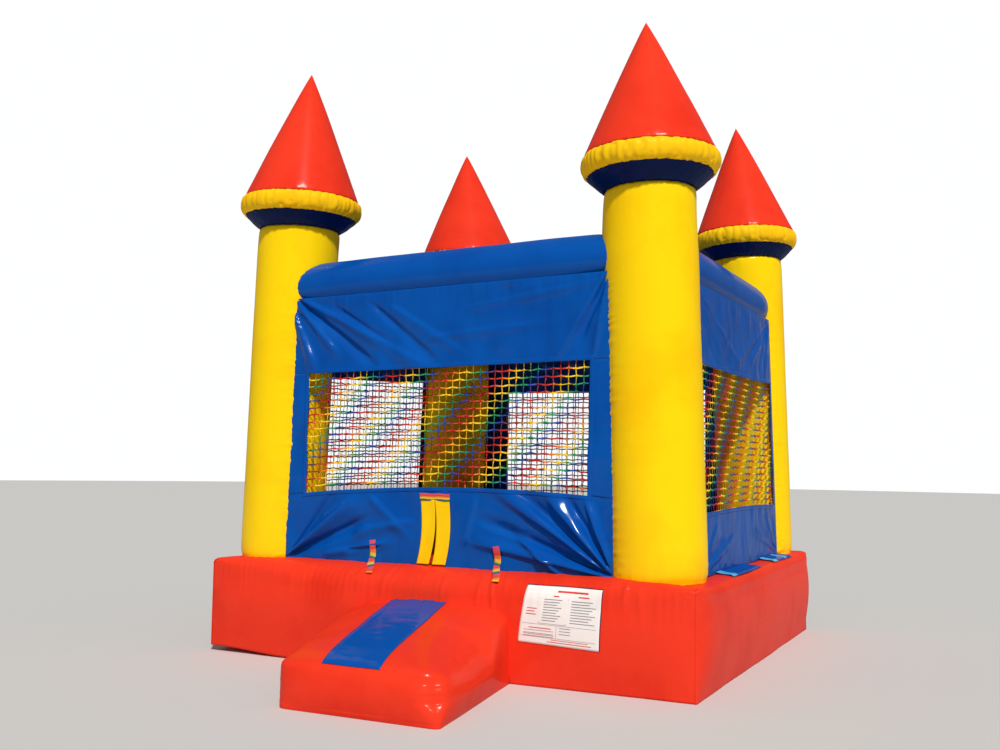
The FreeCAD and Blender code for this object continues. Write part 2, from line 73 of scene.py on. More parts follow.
BEAM_LOW, BEAM_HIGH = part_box("beam_front")
BEAM_RADIUS = (BEAM_HIGH.z - BEAM_LOW.z) / 2
BEAM_Z = (BEAM_HIGH.z + BEAM_LOW.z) / 2
BEAM_OUT = -(BEAM_HIGH.y + BEAM_LOW.y) / 2 - TOWER_Y  # outside the line of the tower axes

WALL = -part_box("window_net_front")[0].y  # outer face of the front wall
WALL_OUT = WALL - TOWER_Y
CHORD = math.sqrt(RADIUS**2 - WALL_OUT**2)  # from a tower's axis to the wall's edge on it
WALL_TOP = BEAM_Z - math.sqrt(BEAM_RADIUS**2 - (WALL_OUT - BEAM_OUT) ** 2)

FLAP_LOW, FLAP_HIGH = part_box("door_flap_left")[0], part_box("door_flap_right")[1]
DOOR_LEFT, DOOR_RIGHT, DOOR_HEAD = FLAP_LOW.x, FLAP_HIGH.x, FLAP_HIGH.z
DOOR_X = (DOOR_LEFT + DOOR_RIGHT) / 2

RAMP_LOW, RAMP_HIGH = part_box("ramp_shell")


# ---------------------------------------------------------------- materials
def colour(code):
    """An sRGB hex colour as linear red, green, blue and alpha."""
    parts = [int(code[i : i + 2], 16) / 255 for i in (0, 2, 4)]
    return [p / 12.92 if p <= 0.04045 else ((p + 0.055) / 1.055) ** 2.4 for p in parts] + [1.0]


def node(tree, kind, inputs=None, **settings):
    """Adds a shader node. A value in inputs is a number, a colour or a socket to link from."""
    made = tree.nodes.new("ShaderNode" + kind)
    for name, value in settings.items():
        setattr(made, name, value)
    for name, value in (inputs or {}).items():
        if isinstance(value, bpy.types.NodeSocket):
            tree.links.new(value, made.inputs[name])
        else:
            made.inputs[name].default_value = value
    return made


def ramp(tree, factor, stops, interpolation="LINEAR"):
    """A colour ramp through (place, linear colour) stops."""
    made = node(tree, "ValToRGB", {"Fac": factor})
    made.color_ramp.interpolation = interpolation
    elements = made.color_ramp.elements
    while len(elements) < len(stops):
        elements.new(0.5)
    for element, (place, value) in zip(elements, sorted(stops, key=lambda stop: stop[0])):
        element.position = place
        element.color = value
    return made.outputs["Color"]


def calc(tree, operation, a, b=0.0, c=0.0):
    return node(tree, "Math", {0: a, 1: b, 2: c}, operation=operation).outputs[0]


def new_material(name, **values):
    """A material, its node tree and its Principled shader, with values set on the shader's sockets."""
    mat = bpy.data.materials.new(name)
    mat.use_nodes = True
    shader = mat.node_tree.nodes["Principled BSDF"]
    for socket, value in values.items():
        shader.inputs[socket.replace("_", " ")].default_value = value
    return mat, mat.node_tree, shader


def coated_vinyl(name, code, worn, roughness=0.14, coat=0.25):
    """PVC-coated polyester: nearly all its shine is in the clear top lacquer. Faint ripples of the skin bend the
    highlights, the scrim under the coating gives a fine square grain, drawn 9 mm coarse so that it shows, and
    sun and shoes leave cloudy, slightly duller patches."""
    mat, tree, shader = new_material(name, Specular_IOR_Level=0.02, Coat_Weight=coat, Coat_Roughness=roughness)
    place = node(tree, "TexCoord").outputs["Object"]
    cloud = node(tree, "TexNoise", {"Vector": place, "Scale": 1.7, "Detail": 4.0, "Roughness": 0.6})
    base = ramp(tree, cloud.outputs["Fac"], [(0.3, colour(worn)), (0.55, colour(code))])
    tree.links.new(base, shader.inputs["Base Color"])
    smear = node(tree, "MapRange", {"Value": cloud.outputs["Fac"], "To Min": 0.66, "To Max": 0.5})
    tree.links.new(smear.outputs["Result"], shader.inputs["Roughness"])
    ripple = node(tree, "TexNoise", {"Vector": place, "Scale": 9.0, "Detail": 3.0, "Roughness": 0.45})
    broad = node(tree, "Bump", {"Strength": 0.22, "Distance": 0.004, "Height": ripple.outputs["Fac"]})
    pitch = 2 * math.pi / 0.009
    spread = node(tree, "Mapping", {"Vector": place, "Scale": (pitch, pitch, pitch)})
    axes = node(tree, "SeparateXYZ", {"Vector": spread.outputs["Vector"]})
    threads = [calc(tree, "SINE", axes.outputs[i]) for i in range(3)]
    scrim = calc(tree, "ADD", calc(tree, "ADD", threads[0], threads[1]), threads[2])
    bumps = {"Strength": 0.08, "Distance": 0.0004, "Height": scrim, "Normal": broad.outputs["Normal"]}
    fine = node(tree, "Bump", bumps)
    tree.links.new(fine.outputs["Normal"], shader.inputs["Normal"])
    return mat


def woven_webbing(name, stripes, pitch=0.006):
    """Polyester webbing. Its stripes run along the strap, and a twill of crossing yarns, 6 mm coarse so that it
    shows, breaks up its satin shine. The UV map is in metres, U across the strap."""
    mat, tree, shader = new_material(name, Roughness=0.62, Sheen_Weight=0.25)
    place = node(tree, "UVMap").outputs["UV"]
    axes = node(tree, "SeparateXYZ", {"Vector": place})
    across, along = axes.outputs[0], axes.outputs[1]
    base = ramp(tree, calc(tree, "FRACT", across), stripes, "CONSTANT")
    slant = calc(tree, "ADD", calc(tree, "MULTIPLY", across, 0.05), along)
    twill = calc(tree, "SINE", calc(tree, "MULTIPLY", slant, 2 * math.pi / pitch))
    shade = node(tree, "MapRange", {"Value": twill, "From Min": -1.0, "To Min": 0.72, "To Max": 1.0})
    factor, first, second = 0, 6, 7  # the Mix node's sockets for its colours
    sockets = {factor: 1.0, first: base, second: shade.outputs["Result"]}
    dark = node(tree, "Mix", sockets, data_type="RGBA", blend_type="MULTIPLY")
    tree.links.new(dark.outputs[2], shader.inputs["Base Color"])
    bump = node(tree, "Bump", {"Strength": 0.6, "Distance": 0.0008, "Height": twill})
    tree.links.new(bump.outputs["Normal"], shader.inputs["Normal"])
    return mat


def knotted_cord(name, stripes):
    """Braided polyethylene cord, dyed in bands that cross the net on a slant, with a dull waxy shine."""
    mat, tree, shader = new_material(name, Roughness=0.45)
    axes = node(tree, "SeparateXYZ", {"Vector": node(tree, "TexCoord").outputs["Object"]})
    flat = calc(tree, "ADD", axes.outputs[0], axes.outputs[1])
    slant = calc(tree, "MULTIPLY_ADD", axes.outputs[2], -0.95, flat)
    place = calc(tree, "FRACT", calc(tree, "DIVIDE", slant, 0.45))
    tree.links.new(ramp(tree, place, stripes, "CONSTANT"), shader.inputs["Base Color"])
    braid = calc(tree, "SINE", calc(tree, "MULTIPLY", slant, 2 * math.pi / 0.006))
    bump = node(tree, "Bump", {"Strength": 0.4, "Distance": 0.0006, "Height": braid})
    tree.links.new(bump.outputs["Normal"], shader.inputs["Normal"])
    return mat


def plain_print(name, code):
    """Screen-printed ink on vinyl: flat and a little dull, with a faint mottle where it lies thin."""
    mat, tree, shader = new_material(name, Roughness=0.5)
    place = node(tree, "TexCoord").outputs["Object"]
    thin = node(tree, "TexNoise", {"Vector": place, "Scale": 60.0, "Detail": 2.0})
    worn = [min(1.0, 1.25 * part + 0.03) for part in colour(code)]
    base = ramp(tree, thin.outputs["Fac"], [(0.4, colour(code)), (0.8, worn)])
    tree.links.new(base, shader.inputs["Base Color"])
    return mat


def plated_metal(name, code, roughness, grain):
    """Bright zinc or nickel plate on a bent wire or casting: a soft metal shine, clouded by handling."""
    mat, tree, shader = new_material(name, Metallic=1.0)
    place = node(tree, "TexCoord").outputs["Object"]
    cloud = node(tree, "TexNoise", {"Vector": place, "Scale": grain, "Detail": 3.0})
    base = ramp(tree, cloud.outputs["Fac"], [(0.3, colour("8E8C86")), (0.6, colour(code))])
    tree.links.new(base, shader.inputs["Base Color"])
    clouds = {"Value": cloud.outputs["Fac"], "To Min": roughness + 0.15, "To Max": roughness}
    dull = node(tree, "MapRange", clouds)
    tree.links.new(dull.outputs["Result"], shader.inputs["Roughness"])
    return mat


RED = coated_vinyl("red_coated_vinyl", "EE3A22", "E2311B", roughness=0.2, coat=0.18)
YELLOW = coated_vinyl("yellow_coated_vinyl", "FFD60A", "FFC804", coat=0.2)
BLUE = coated_vinyl("blue_coated_vinyl", "0050A8", "00479E", coat=0.28)
# The bands' yellow vinyl, drawn more orange all over: painted shade, the orange cast that yellow takes in shade
# and bounce light.
YELLOW_PAINTED_SHADE_TINT = coated_vinyl("yellow_vinyl_painted_shade_tint", "FFCC18", "FFC010", roughness=0.3, coat=0.06)
# Navy: on the flares it is painted shade, blue vinyl drawn dark as if the band above shadowed it. The rules
# banner's binding is drawn in the same navy.
NAVY_BINDING_AND_FLARE_SHADE = coated_vinyl("navy_binding_and_flare_painted_shade", "051C50", "041640", roughness=0.2, coat=0.12)
WHITE = coated_vinyl("white_banner_vinyl", "F4F4F2", "EDEDEA", roughness=0.24, coat=0.06)
# Pale blue for the strips on the hold-down tabs: painted highlights where light catches the tab ends.
PAINTED_HIGHLIGHT_BLUE = coated_vinyl("pale_blue_painted_highlight", "5FB4E6", "4FA6DC")
RAINBOW = woven_webbing(
    "rainbow_webbing",
    [(0.0, colour("E8476A")), (0.2, colour("EE3A22")), (0.38, colour("F58A1F")), (0.55, colour("FFD21F")),
     (0.76, colour("2E9E58")), (0.88, colour("23407E"))],
)
BLACK_WEBBING = woven_webbing("black_webbing", [(0.0, colour("1B1B1D")), (0.5, colour("202023"))])
NET = knotted_cord(
    "rainbow_net_cord",
    [(0.0, colour("FFD21C")), (0.2, colour("9DB03A")), (0.28, colour("1F8F60")), (0.44, colour("2342A0")),
     (0.58, colour("6A2460")), (0.66, colour("C4221A")), (0.88, colour("F0801A"))],
)
INK_RED = plain_print("red_screen_print", "D6332B")
INK_GREY = plain_print("grey_screen_print", "7C8088")
ZINC = plated_metal("zinc_plated_wire", "C9C8C2", 0.28, 180.0)
NICKEL = plated_metal("nickel_plated_brass", "D8D2C2", 0.22, 320.0)


# ---------------------------------------------------------------- helpers for shapes
def mix(a, b, share):
    return a + (b - a) * share


def ease(low, high, value):
    """0 at low, 1 at high, and smooth between."""
    share = min(1.0, max(0.0, (value - low) / (high - low)))
    return share * share * (3 - 2 * share)


def soft(a, b, seed):
    """Smooth waves between about -1 and 1, the same on every run."""
    return noise.noise(Vector((a, b, 7.3 * seed)))


def hills(value):
    """Smooth waves folded into round hills with sharp valleys between: 0 in a valley."""
    return min(1.0, 2.2 * abs(value))


def pucker(a, b, seed):
    """Hills and valleys as cloth has along a gathered seam."""
    return hills(soft(a, b, seed))


def fading(gap, reach):
    """1 at no gap, and dying away over a reach."""
    return math.exp(-gap / reach)


def bell(gap, reach):
    """1 at no gap, and round on top."""
    return math.exp(-((gap / reach) ** 2))


def ridges(a, z, lines):
    """Height of a set of folds at a place on a wall. Each is (a0, z0, a1, z1, width there, width here, height);
    its upper flank is steeper than its lower one."""
    total = 0.0
    for a0, z0, a1, z1, w0, w1, height in lines:
        run_a, run_z = a1 - a0, z1 - z0
        length = math.hypot(run_a, run_z)
        t = ((a - a0) * run_a + (z - z0) * run_z) / length**2
        if not -0.1 < t < 1.1:
            continue
        off = ((z - z0) * run_a - (a - a0) * run_z) / length
        width = mix(w0, w1, min(1.0, max(0.0, t))) * (0.65 if off > 0 else 1.25)
        fade = ease(-0.1, 0.12, t) * (1 - ease(0.75, 1.1, t))
        total += 1.15 * height * fade * bell(off, width)
    return total


def finished(bm, name, *mats):
    """The bmesh as a smooth-shaded object at the origin."""
    mesh = bpy.data.meshes.new(name)
    bm.to_mesh(mesh)
    bm.free()
    for mat in mats:
        mesh.materials.append(mat)
    mesh.polygons.foreach_set("use_smooth", [True] * len(mesh.polygons))
    piece = bpy.data.objects.new(name, mesh)
    SCENE.collection.objects.link(piece)
    return piece


def laid_grid(nx, ny, place, size=(1.0, 1.0), wrap=False, keep=None):
    """A bmesh grid whose point (u, v), each from 0 to 1, lies at place(u, v). UVs are u and v times size."""
    bm = bmesh.new()
    bmesh.ops.create_grid(bm, x_segments=nx, y_segments=ny, size=0.5)
    if keep:
        middles = [(f, f.calc_center_median()) for f in bm.faces]
        gone = [f for f, middle in middles if not keep(middle.x + 0.5, middle.y + 0.5)]
        bmesh.ops.delete(bm, geom=gone, context="FACES")
    layer = bm.loops.layers.uv.new("UVMap")
    for face in bm.faces:
        for loop in face.loops:
            loop[layer].uv = ((loop.vert.co.x + 0.5) * size[0], (loop.vert.co.y + 0.5) * size[1])
    for vert in bm.verts:
        vert.co = place(vert.co.x + 0.5, vert.co.y + 0.5)
    if wrap:
        bmesh.ops.remove_doubles(bm, verts=bm.verts, dist=1e-5)
    return bm


def skin(name, mat, nx, ny, place, thick=SKIN, offset=-1.0, **options):
    """A laid grid with the thickness of a skin, inwards unless offset says otherwise."""
    piece = finished(laid_grid(nx, ny, place, **options), name, mat)
    wall = piece.modifiers.new("thickness", "SOLIDIFY")
    wall.thickness = thick
    wall.offset = offset
    return piece


def put(piece, slot, *nodes, body="root"):
    """Makes a piece ride on a body and stand for frame nodes."""
    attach(piece, body)
    if nodes:
        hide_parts(*nodes)
    return piece


def inflated(piece, slot, *nodes):
    """A chamber held tight by air."""
    return put(piece, slot, *nodes)


def on_side(side, along, out, z):
    """A point at a distance along a side, out from the middle of the house, and up."""
    x, y = {"front": (along, -out), "right": (out, along), "back": (-along, out), "left": (-out, -along)}[side]
    return Vector((x, y, z))


def axis_x(z):
    """Distance of a tower's axis from the middle of the house."""
    return TOWER_X - (z - TOP) * math.tan(LEAN)


def tree_of(*objects):
    """What to lay other pieces on."""
    joined = bmesh.new()
    for piece in objects:
        joined.from_mesh(piece.data)
    tree = BVHTree.FromBMesh(joined)
    joined.free()
    return tree


# ---------------------------------------------------------------- base
SHOULDER = 0.2  # how far the base runs in under the walls
FACE_SHARE = 0.7  # of a panel's rows that are on its face
HUMP = 0.03  # how far the front shoulder swells above the floor
CORNER_LIFT = 0.045  # the front left corner stands a little off the ground
# Creases in the front shoulder, where straps and the doorway pull, as ridges takes them
PULLS = [
    (-0.56, 0.72, -0.72, 0.5, 0.012, 0.02, 0.009), (-0.5, 0.73, -0.6, 0.6, 0.01, 0.016, 0.005),
    (-0.32, 0.74, -0.37, 0.54, 0.008, 0.014, 0.007), (-0.26, 0.74, -0.31, 0.56, 0.008, 0.012, 0.005),
    (-0.02, 0.74, -0.06, 0.6, 0.01, 0.014, 0.004), (0.15, 0.74, 0.13, 0.58, 0.01, 0.014, 0.004),
    (0.44, 0.72, 0.42, 0.5, 0.01, 0.014, 0.008), (0.52, 0.72, 0.56, 0.46, 0.01, 0.014, 0.01),
    (0.62, 0.74, 0.63, 0.6, 0.012, 0.014, 0.004), (1.52, 0.73, 1.5, 0.58, 0.014, 0.02, 0.006),
    (1.6, 0.73, 1.62, 0.55, 0.012, 0.02, 0.005),
]


def lifted(point):
    """The point, raised if it is near the ground at the front left corner."""
    gap = math.hypot(point.x + HALF_WIDTH, point.y + HALF_DEPTH)
    point.z += CORNER_LIFT * bell(gap, 0.55) * max(0.0, 1 - point.z / TOP)
    return point


def ground_cloth():
    """The tough sheet under the base."""

    def place(u, v):
        return lifted(Vector(((u - 0.5) * size[0], (v - 0.5) * size[1], 0.0005)))

    size = (2 * HALF_WIDTH - 0.008, 2 * HALF_DEPTH - 0.008)  # 4 mm inside the base all round
    piece = skin("ground_cloth", RED, 60, 56, place, size=size, offset=1.0)
    put(piece, "red_vinyl", "ground_sheet")


def shoulder_shape(side, corner):
    """Height of the shoulder, and how square it is (2 is round). corner is 1 at the ends of the side."""
    if side == "front":
        power = mix(2.3, 5.0, ease(0.55, 0.78, corner))
        return 0.17, mix(power, 9.0, ease(0.86, 1.0, corner))
    return 0.12, mix(4.2, 9.0, ease(0.8, 1.0, corner))


def base_side(side):
    """A side of the base: it swells between its seams, and in front its top rolls over in a soft shoulder."""
    front = side == "front"
    run = HALF_WIDTH if side in ACROSS else HALF_DEPTH
    reach = HALF_DEPTH if side in ACROSS else HALF_WIDTH
    seed = SIDES.index(side)

    def place(u, v):
        along = (2 * u - 1) * run
        corner = abs(2 * u - 1)
        taper = 1 - corner ** (9 if front else 20)
        roll, power = shoulder_shape(side, corner)

        def swell(z):
            share = (z / TOP) ** 1.25
            return BULGE * taper * (4 * share * (1 - share)) ** 0.8

        turn = 0.0
        if v < FACE_SHARE:
            z = (TOP - roll) * v / FACE_SHARE
            out = swell(z)
        else:
            turn = (v - FACE_SHARE) / (1 - FACE_SHARE) * math.pi / 2
            reach_out = SHOULDER + swell(TOP - roll)
            out = reach_out * abs(math.cos(turn)) ** (2 / power) - SHOULDER
            z = TOP - roll + roll * math.sin(turn) ** (2 / power)
            if front:
                z += HUMP * math.sin(turn) * (1 - 0.1 * corner**2) * taper
        rise = 0.006 * taper * soft(along / 0.45, z / 0.5, 20 + seed)
        near_top = ease(0.45, 0.78, v) * (1 - 0.5 * ease(0.85, 1.0, v))
        rise += 0.0045 * near_top * (pucker(along / 0.055, v * 1.3, 30 + seed) - 0.5) * (1 if front else 0.2)
        rise += 0.003 * (1 - ease(0.0, 0.25, v)) * (pucker(along / 0.05, v, 40 + seed) - 0.5)
        side_gap = (1 - corner) * run
        rise += 0.004 * fading(side_gap, 0.05) * (pucker(z / 0.04, side_gap / 0.2, 50 + seed) - 0.5)
        knot = math.hypot(side_gap, z - TOP + 0.05)
        rise += 0.014 * bell(knot, 0.09) * (pucker(z / 0.03, side_gap / 0.05, 60 + seed) - 0.6)
        if front:
            rise += ridges(along, z, PULLS) * (1 - ease(0.9, 1.0, v))
        seam = 1 - corner**60  # the corner seam itself stays straight
        out += rise * math.cos(turn) * seam
        z += rise * math.sin(turn) * seam
        share = (2 * u - 1) * (run + min(out, 0.0)) / run if v >= FACE_SHARE else 2 * u - 1
        return lifted(on_side(side, share * run, reach + out, max(z, 0.0)))

    piece = skin("base_" + side, RED, 300 if run > 1.9 else 270, 56, place, size=(2 * run, 0.95))
    return inflated(piece, "red_vinyl", "base_panel_" + side)


def bounce_floor():
    """The jumping floor: long soft rolls between the webs that hold it down."""
    webs, pitch = 7, 0.44

    def place(u, v):
        x = (2 * u - 1) * (HALF_WIDTH - SHOULDER + 0.01)
        y = (2 * v - 1) * (HALF_DEPTH - SHOULDER + 0.01)
        nearest = min(abs(x - (i - (webs - 1) / 2) * pitch) for i in range(webs))
        dip = 0.022 * fading(nearest, 0.06) * ease(0.0, 0.25, HALF_DEPTH - 0.2 - abs(y))
        edge = ease(0.0, 0.12, min(HALF_WIDTH - SHOULDER - abs(x), HALF_DEPTH - SHOULDER - abs(y)))
        crumple = 0.004 * fading(nearest, 0.03) * pucker(y / 0.05, x, 3)
        swell = HUMP * fading(y + HALF_DEPTH - SHOULDER, 0.15) * (1 - 0.1 * (x / HALF_WIDTH) ** 2)
        return Vector((x, y, TOP - 0.006 - (dip + crumple) * edge + swell))

    piece = skin("bounce_floor_rolls", RED, 180, 70, place, size=(3.6, 3.3))
    return inflated(piece, "red_vinyl", "bounce_floor")


def seam_tape(name, mat, points, normals, width, rise):
    """A narrow raised tape along a line of points, with a rounded section."""
    count = len(points) - 1

    def place(u, v):
        i = min(count, round(v * count))
        ahead = points[min(count, i + 1)] - points[max(0, i - 1)]
        across = ahead.cross(normals[i]).normalized()
        lift = rise * (1 - (2 * u - 1) ** 4)
        return points[i] + across * (u - 0.5) * width + normals[i] * lift

    length = sum((b - a).length for a, b in zip(points, points[1:]))
    return finished(laid_grid(6, count, place, size=(1.0, length)), name, mat)


def base_seams():
    """Lapped seams down the corners of the base and along its top edge."""
    for name, (sx, sy) in CORNERS.items():
        outward = Vector((sx, sy, 0)).normalized()
        points, normals = [], []
        for i in range(31):
            z = mix(0.002, TOP - 0.03, i / 30)
            points.append(lifted(Vector((sx * HALF_WIDTH, sy * HALF_DEPTH, z)) - outward * 0.003))
            normals.append(outward)
        put(seam_tape("base_corner_seam_" + name, RED, points, normals, 0.016, 0.005), "red_vinyl")
    for side in SIDES[1:]:
        run = HALF_WIDTH if side == "back" else HALF_DEPTH
        reach = HALF_DEPTH if side == "back" else HALF_WIDTH
        outward = (on_side(side, 0, 1, 0) + Vector((0, 0, 1))).normalized()
        points = []
        for i in range(121):
            along = mix(-run + 0.03, run - 0.03, i / 120)
            roll, power = shoulder_shape(side, abs(along) / run)
            turn = 0.7071 ** (2 / power)
            wave = 0.003 * soft(along / 0.12, 0, 80) - 0.001
            out = reach + SHOULDER * (turn - 1) + 0.004
            points.append(on_side(side, along, out, TOP + roll * (turn - 1) + wave))
        put(seam_tape("base_top_seam_" + side, RED, points, [outward] * 121, 0.014, 0.006), "red_vinyl")


# ---------------------------------------------------------------- ramp
RAMP_BACK = (0.010, 0.645)  # middle and half width where it meets the base
RAMP_FRONT = (0.302, 0.5675)
RAMP_FRONT_HEIGHT = 0.29
TREAD_WIDTH = 0.415


def ramp_body():
    """The entrance ramp: a slack wedge, crowned along its middle, sewn square at its foot and to the base."""
    bm = bmesh.new()
    bmesh.ops.create_cube(bm, size=2.0)
    bmesh.ops.subdivide_edges(bm, edges=bm.edges[:], cuts=51, use_grid_fill=True)
    back_y, front_y = -HALF_DEPTH, RAMP_LOW.y
    for vert in bm.verts:
        a, b, c = vert.co
        up, ahead = (c + 1) / 2, max(0.0, -b)
        left = ease(0.3, -0.8, a)
        firm_front = ease(-0.3, -1.0, b) * (1 - 0.78 * ease(0.1, 1.0, a))
        square = mix(mix(4.2, 26.0, left), 22.0 + 4 * left, max(ease(0.2, 0.75, b), firm_front))
        square = mix(max(34.0, square), square, ease(0.0, 0.5, up))
        round_off = (abs(a) ** square + up**square + ahead ** (2.2 * square)) ** (1 / square)
        round_off = max(1.0, round_off)
        a, up, ahead = a / round_off, up / round_off, ahead / round_off
        b = -ahead if b < 0 else b
        share = (1 - b) / 2  # 0 at the base, 1 at the front
        middle = mix(RAMP_BACK[0], RAMP_FRONT[0], share)
        half = mix(RAMP_BACK[1], RAMP_FRONT[1], share)
        height = mix(RAMP_HIGH.z, RAMP_FRONT_HEIGHT, share)
        x = middle + a * half
        y = mix(back_y, front_y, share)
        z = height * up + mix(0.085, 0.05, share) * (1 - abs(a) ** 2.2) * (1 - ahead**6) * up * up
        belly = 4 * up * (1 - up) * (1 - 0.8 * ease(0.2, 0.8, b))
        z += 0.035 * ease(0.4, 1.0, b) * ease(0.2, 0.9, a) * up
        x += a * abs(a) ** 3 * mix(0.05, 0.02, left) * belly * (1 - ahead**5)
        y -= ahead**4 * 0.035 * belly * (1 - abs(a) ** 5)
        vert.co = (x, y, z)
    loose = [v for v in bm.verts if v.co.z > 0.03]
    bm.normal_update()
    shifts = []
    for vert in loose:
        x, y, z = vert.co
        share = (back_y - y) / (back_y - front_y)
        half = mix(RAMP_BACK[1], RAMP_FRONT[1], share)
        right = mix(RAMP_BACK[0], RAMP_FRONT[0], share) + half
        left = right - 2 * half
        rise = 0.007 * soft(x / 0.3, y / 0.3 + z, 70)
        corner_right = math.hypot(x - right, y - front_y)
        corner_left = math.hypot(x - left, y - front_y)
        high = ease(0.08, 0.16, z)
        rise += 0.008 * high * fading(corner_right, 0.08) * (pucker(z / 0.019, corner_right / 0.2, 71) - 0.5)
        rise += 0.002 * fading(corner_left, 0.05) * (pucker(z / 0.03, corner_left / 0.25, 72) - 0.5)
        into = max(0.0, -HALF_DEPTH - BULGE - y)
        rise += 0.01 * fading(into, 0.1) * (pucker(x / 0.05, y / 0.2, 73) - 0.5) * ease(0.2, 0.4, z)
        hem = fading(z, 0.04)
        rise += 0.002 * hem * (pucker((x + y) / 0.04, z, 74) - 0.5)
        shifts.append((vert, vert.normal * rise))
    for vert, shift in shifts:
        vert.co += shift
        vert.co.z = max(0.0, vert.co.z)
    back = [f for f in bm.faces if f.calc_center_median().y > -HALF_DEPTH - 0.001]
    bmesh.ops.delete(bm, geom=back, context="FACES")
    bmesh.ops.recalc_face_normals(bm, faces=bm.faces[:])
    piece = finished(bm, "ramp_wedge", RED)
    wall = piece.modifiers.new("thickness", "SOLIDIFY")
    wall.thickness = SKIN
    return inflated(piece, "red_vinyl", "ramp_shell")


def ramp_tread(ramp_piece, base_piece):
    """The blue climbing strip, sewn down along the ramp."""
    tree = tree_of(ramp_piece, base_piece)
    half = TREAD_WIDTH / 2
    back_y, front_y = -HALF_DEPTH - 0.068, RAMP_LOW.y + 0.02
    back_x, front_x = -0.045, 0.247  # its middle at either end

    def place(u, v):
        y = mix(front_y, back_y, v)
        x = mix(front_x, back_x, v) + (2 * u - 1) * half * mix(1.0, 1.1, v)
        hit = tree.ray_cast(Vector((x, y, 1.0)), Vector((0, 0, -1)))[0]
        edge = 1 - abs(2 * u - 1)
        lift = 0.0035 + 0.003 * ease(0.0, 0.12, edge) * (pucker(y / 0.12, u * 2, 76) * 0.8 + 0.2)
        lift += 0.006 * bell(u - 0.1, 0.03) * ease(0.0, 0.2, v)
        return Vector((x, y, (hit.z if hit else 0.4) + lift))

    piece = skin("ramp_tread_strip", BLUE, 40, 120, place, size=(2 * half, 1.3), thick=0.0015, offset=1.0)
    put(piece, "blue_vinyl", "ramp_tread")


# ---------------------------------------------------------------- towers
def tower_matrix(sx, sy):
    lean = Matrix.Rotation(-sx * LEAN, 4, "Y")
    return Matrix.Translation((sx * TOWER_X, sy * TOWER_Y, TOP)) @ lean


# How each tower has settled: its collar's shift along x and up, its tip's, and the girths of collar and column
TOWER_SET = {
    "front_left": (0.014, -0.03, 0.045, 0.01, 1.0, 1.0),
    "front_right": (0.018, 0.022, 0.015, -0.03, 1.006, 1.03),
    "back_left": (0.1, -0.015, 0.0, 0.06, 1.08, 1.0),
    "back_right": (0.0, 0.0, -0.05, 0.005, 0.96, 1.0),
}


def ring_skin(name, mat, matrix, set_by, around, rows, profile, detail, height):
    """A round skin: profile(v) gives radius and height, and detail(angle, v, radius, height) pushes it out."""
    collar_x, collar_z, tip_x, tip_z, girth, stout = set_by

    def place(u, v):
        angle = 2 * math.pi * u
        if u > 0.9999:
            angle = 0.0
        radius, high = profile(v)
        radius += detail(angle, v, radius, high)
        if high > COLUMN:
            radius *= mix(1.0, girth, ease(COLUMN, COLUMN + FLARE, high))
        radius *= mix(stout, 1.0, ease(2.2, COLUMN, high))
        point = matrix @ Vector((radius * math.cos(angle), radius * math.sin(angle), high))
        collar = COLUMN + FLARE + BAND
        top = max(0.0, (high - collar) / SPIRE)
        point.x += mix(collar_x * ease(2.35, collar, high) ** 1.5, tip_x, top)
        point.z += mix(collar_z * ease(2.3, COLUMN + FLARE, high), tip_z, top)
        return point

    return skin(name, mat, around, rows, place, size=(2 * math.pi * RADIUS, height), wrap=True)


def circle_noise(angle, radius, pitch, across, seed, smooth=False):
    """Noise round a ring with no join, in hills one pitch wide, or in smooth waves."""
    turn = radius / pitch
    value = noise.noise(Vector((math.cos(angle) * turn, math.sin(angle) * turn, across + 7.3 * seed)))
    return value if smooth else hills(value)


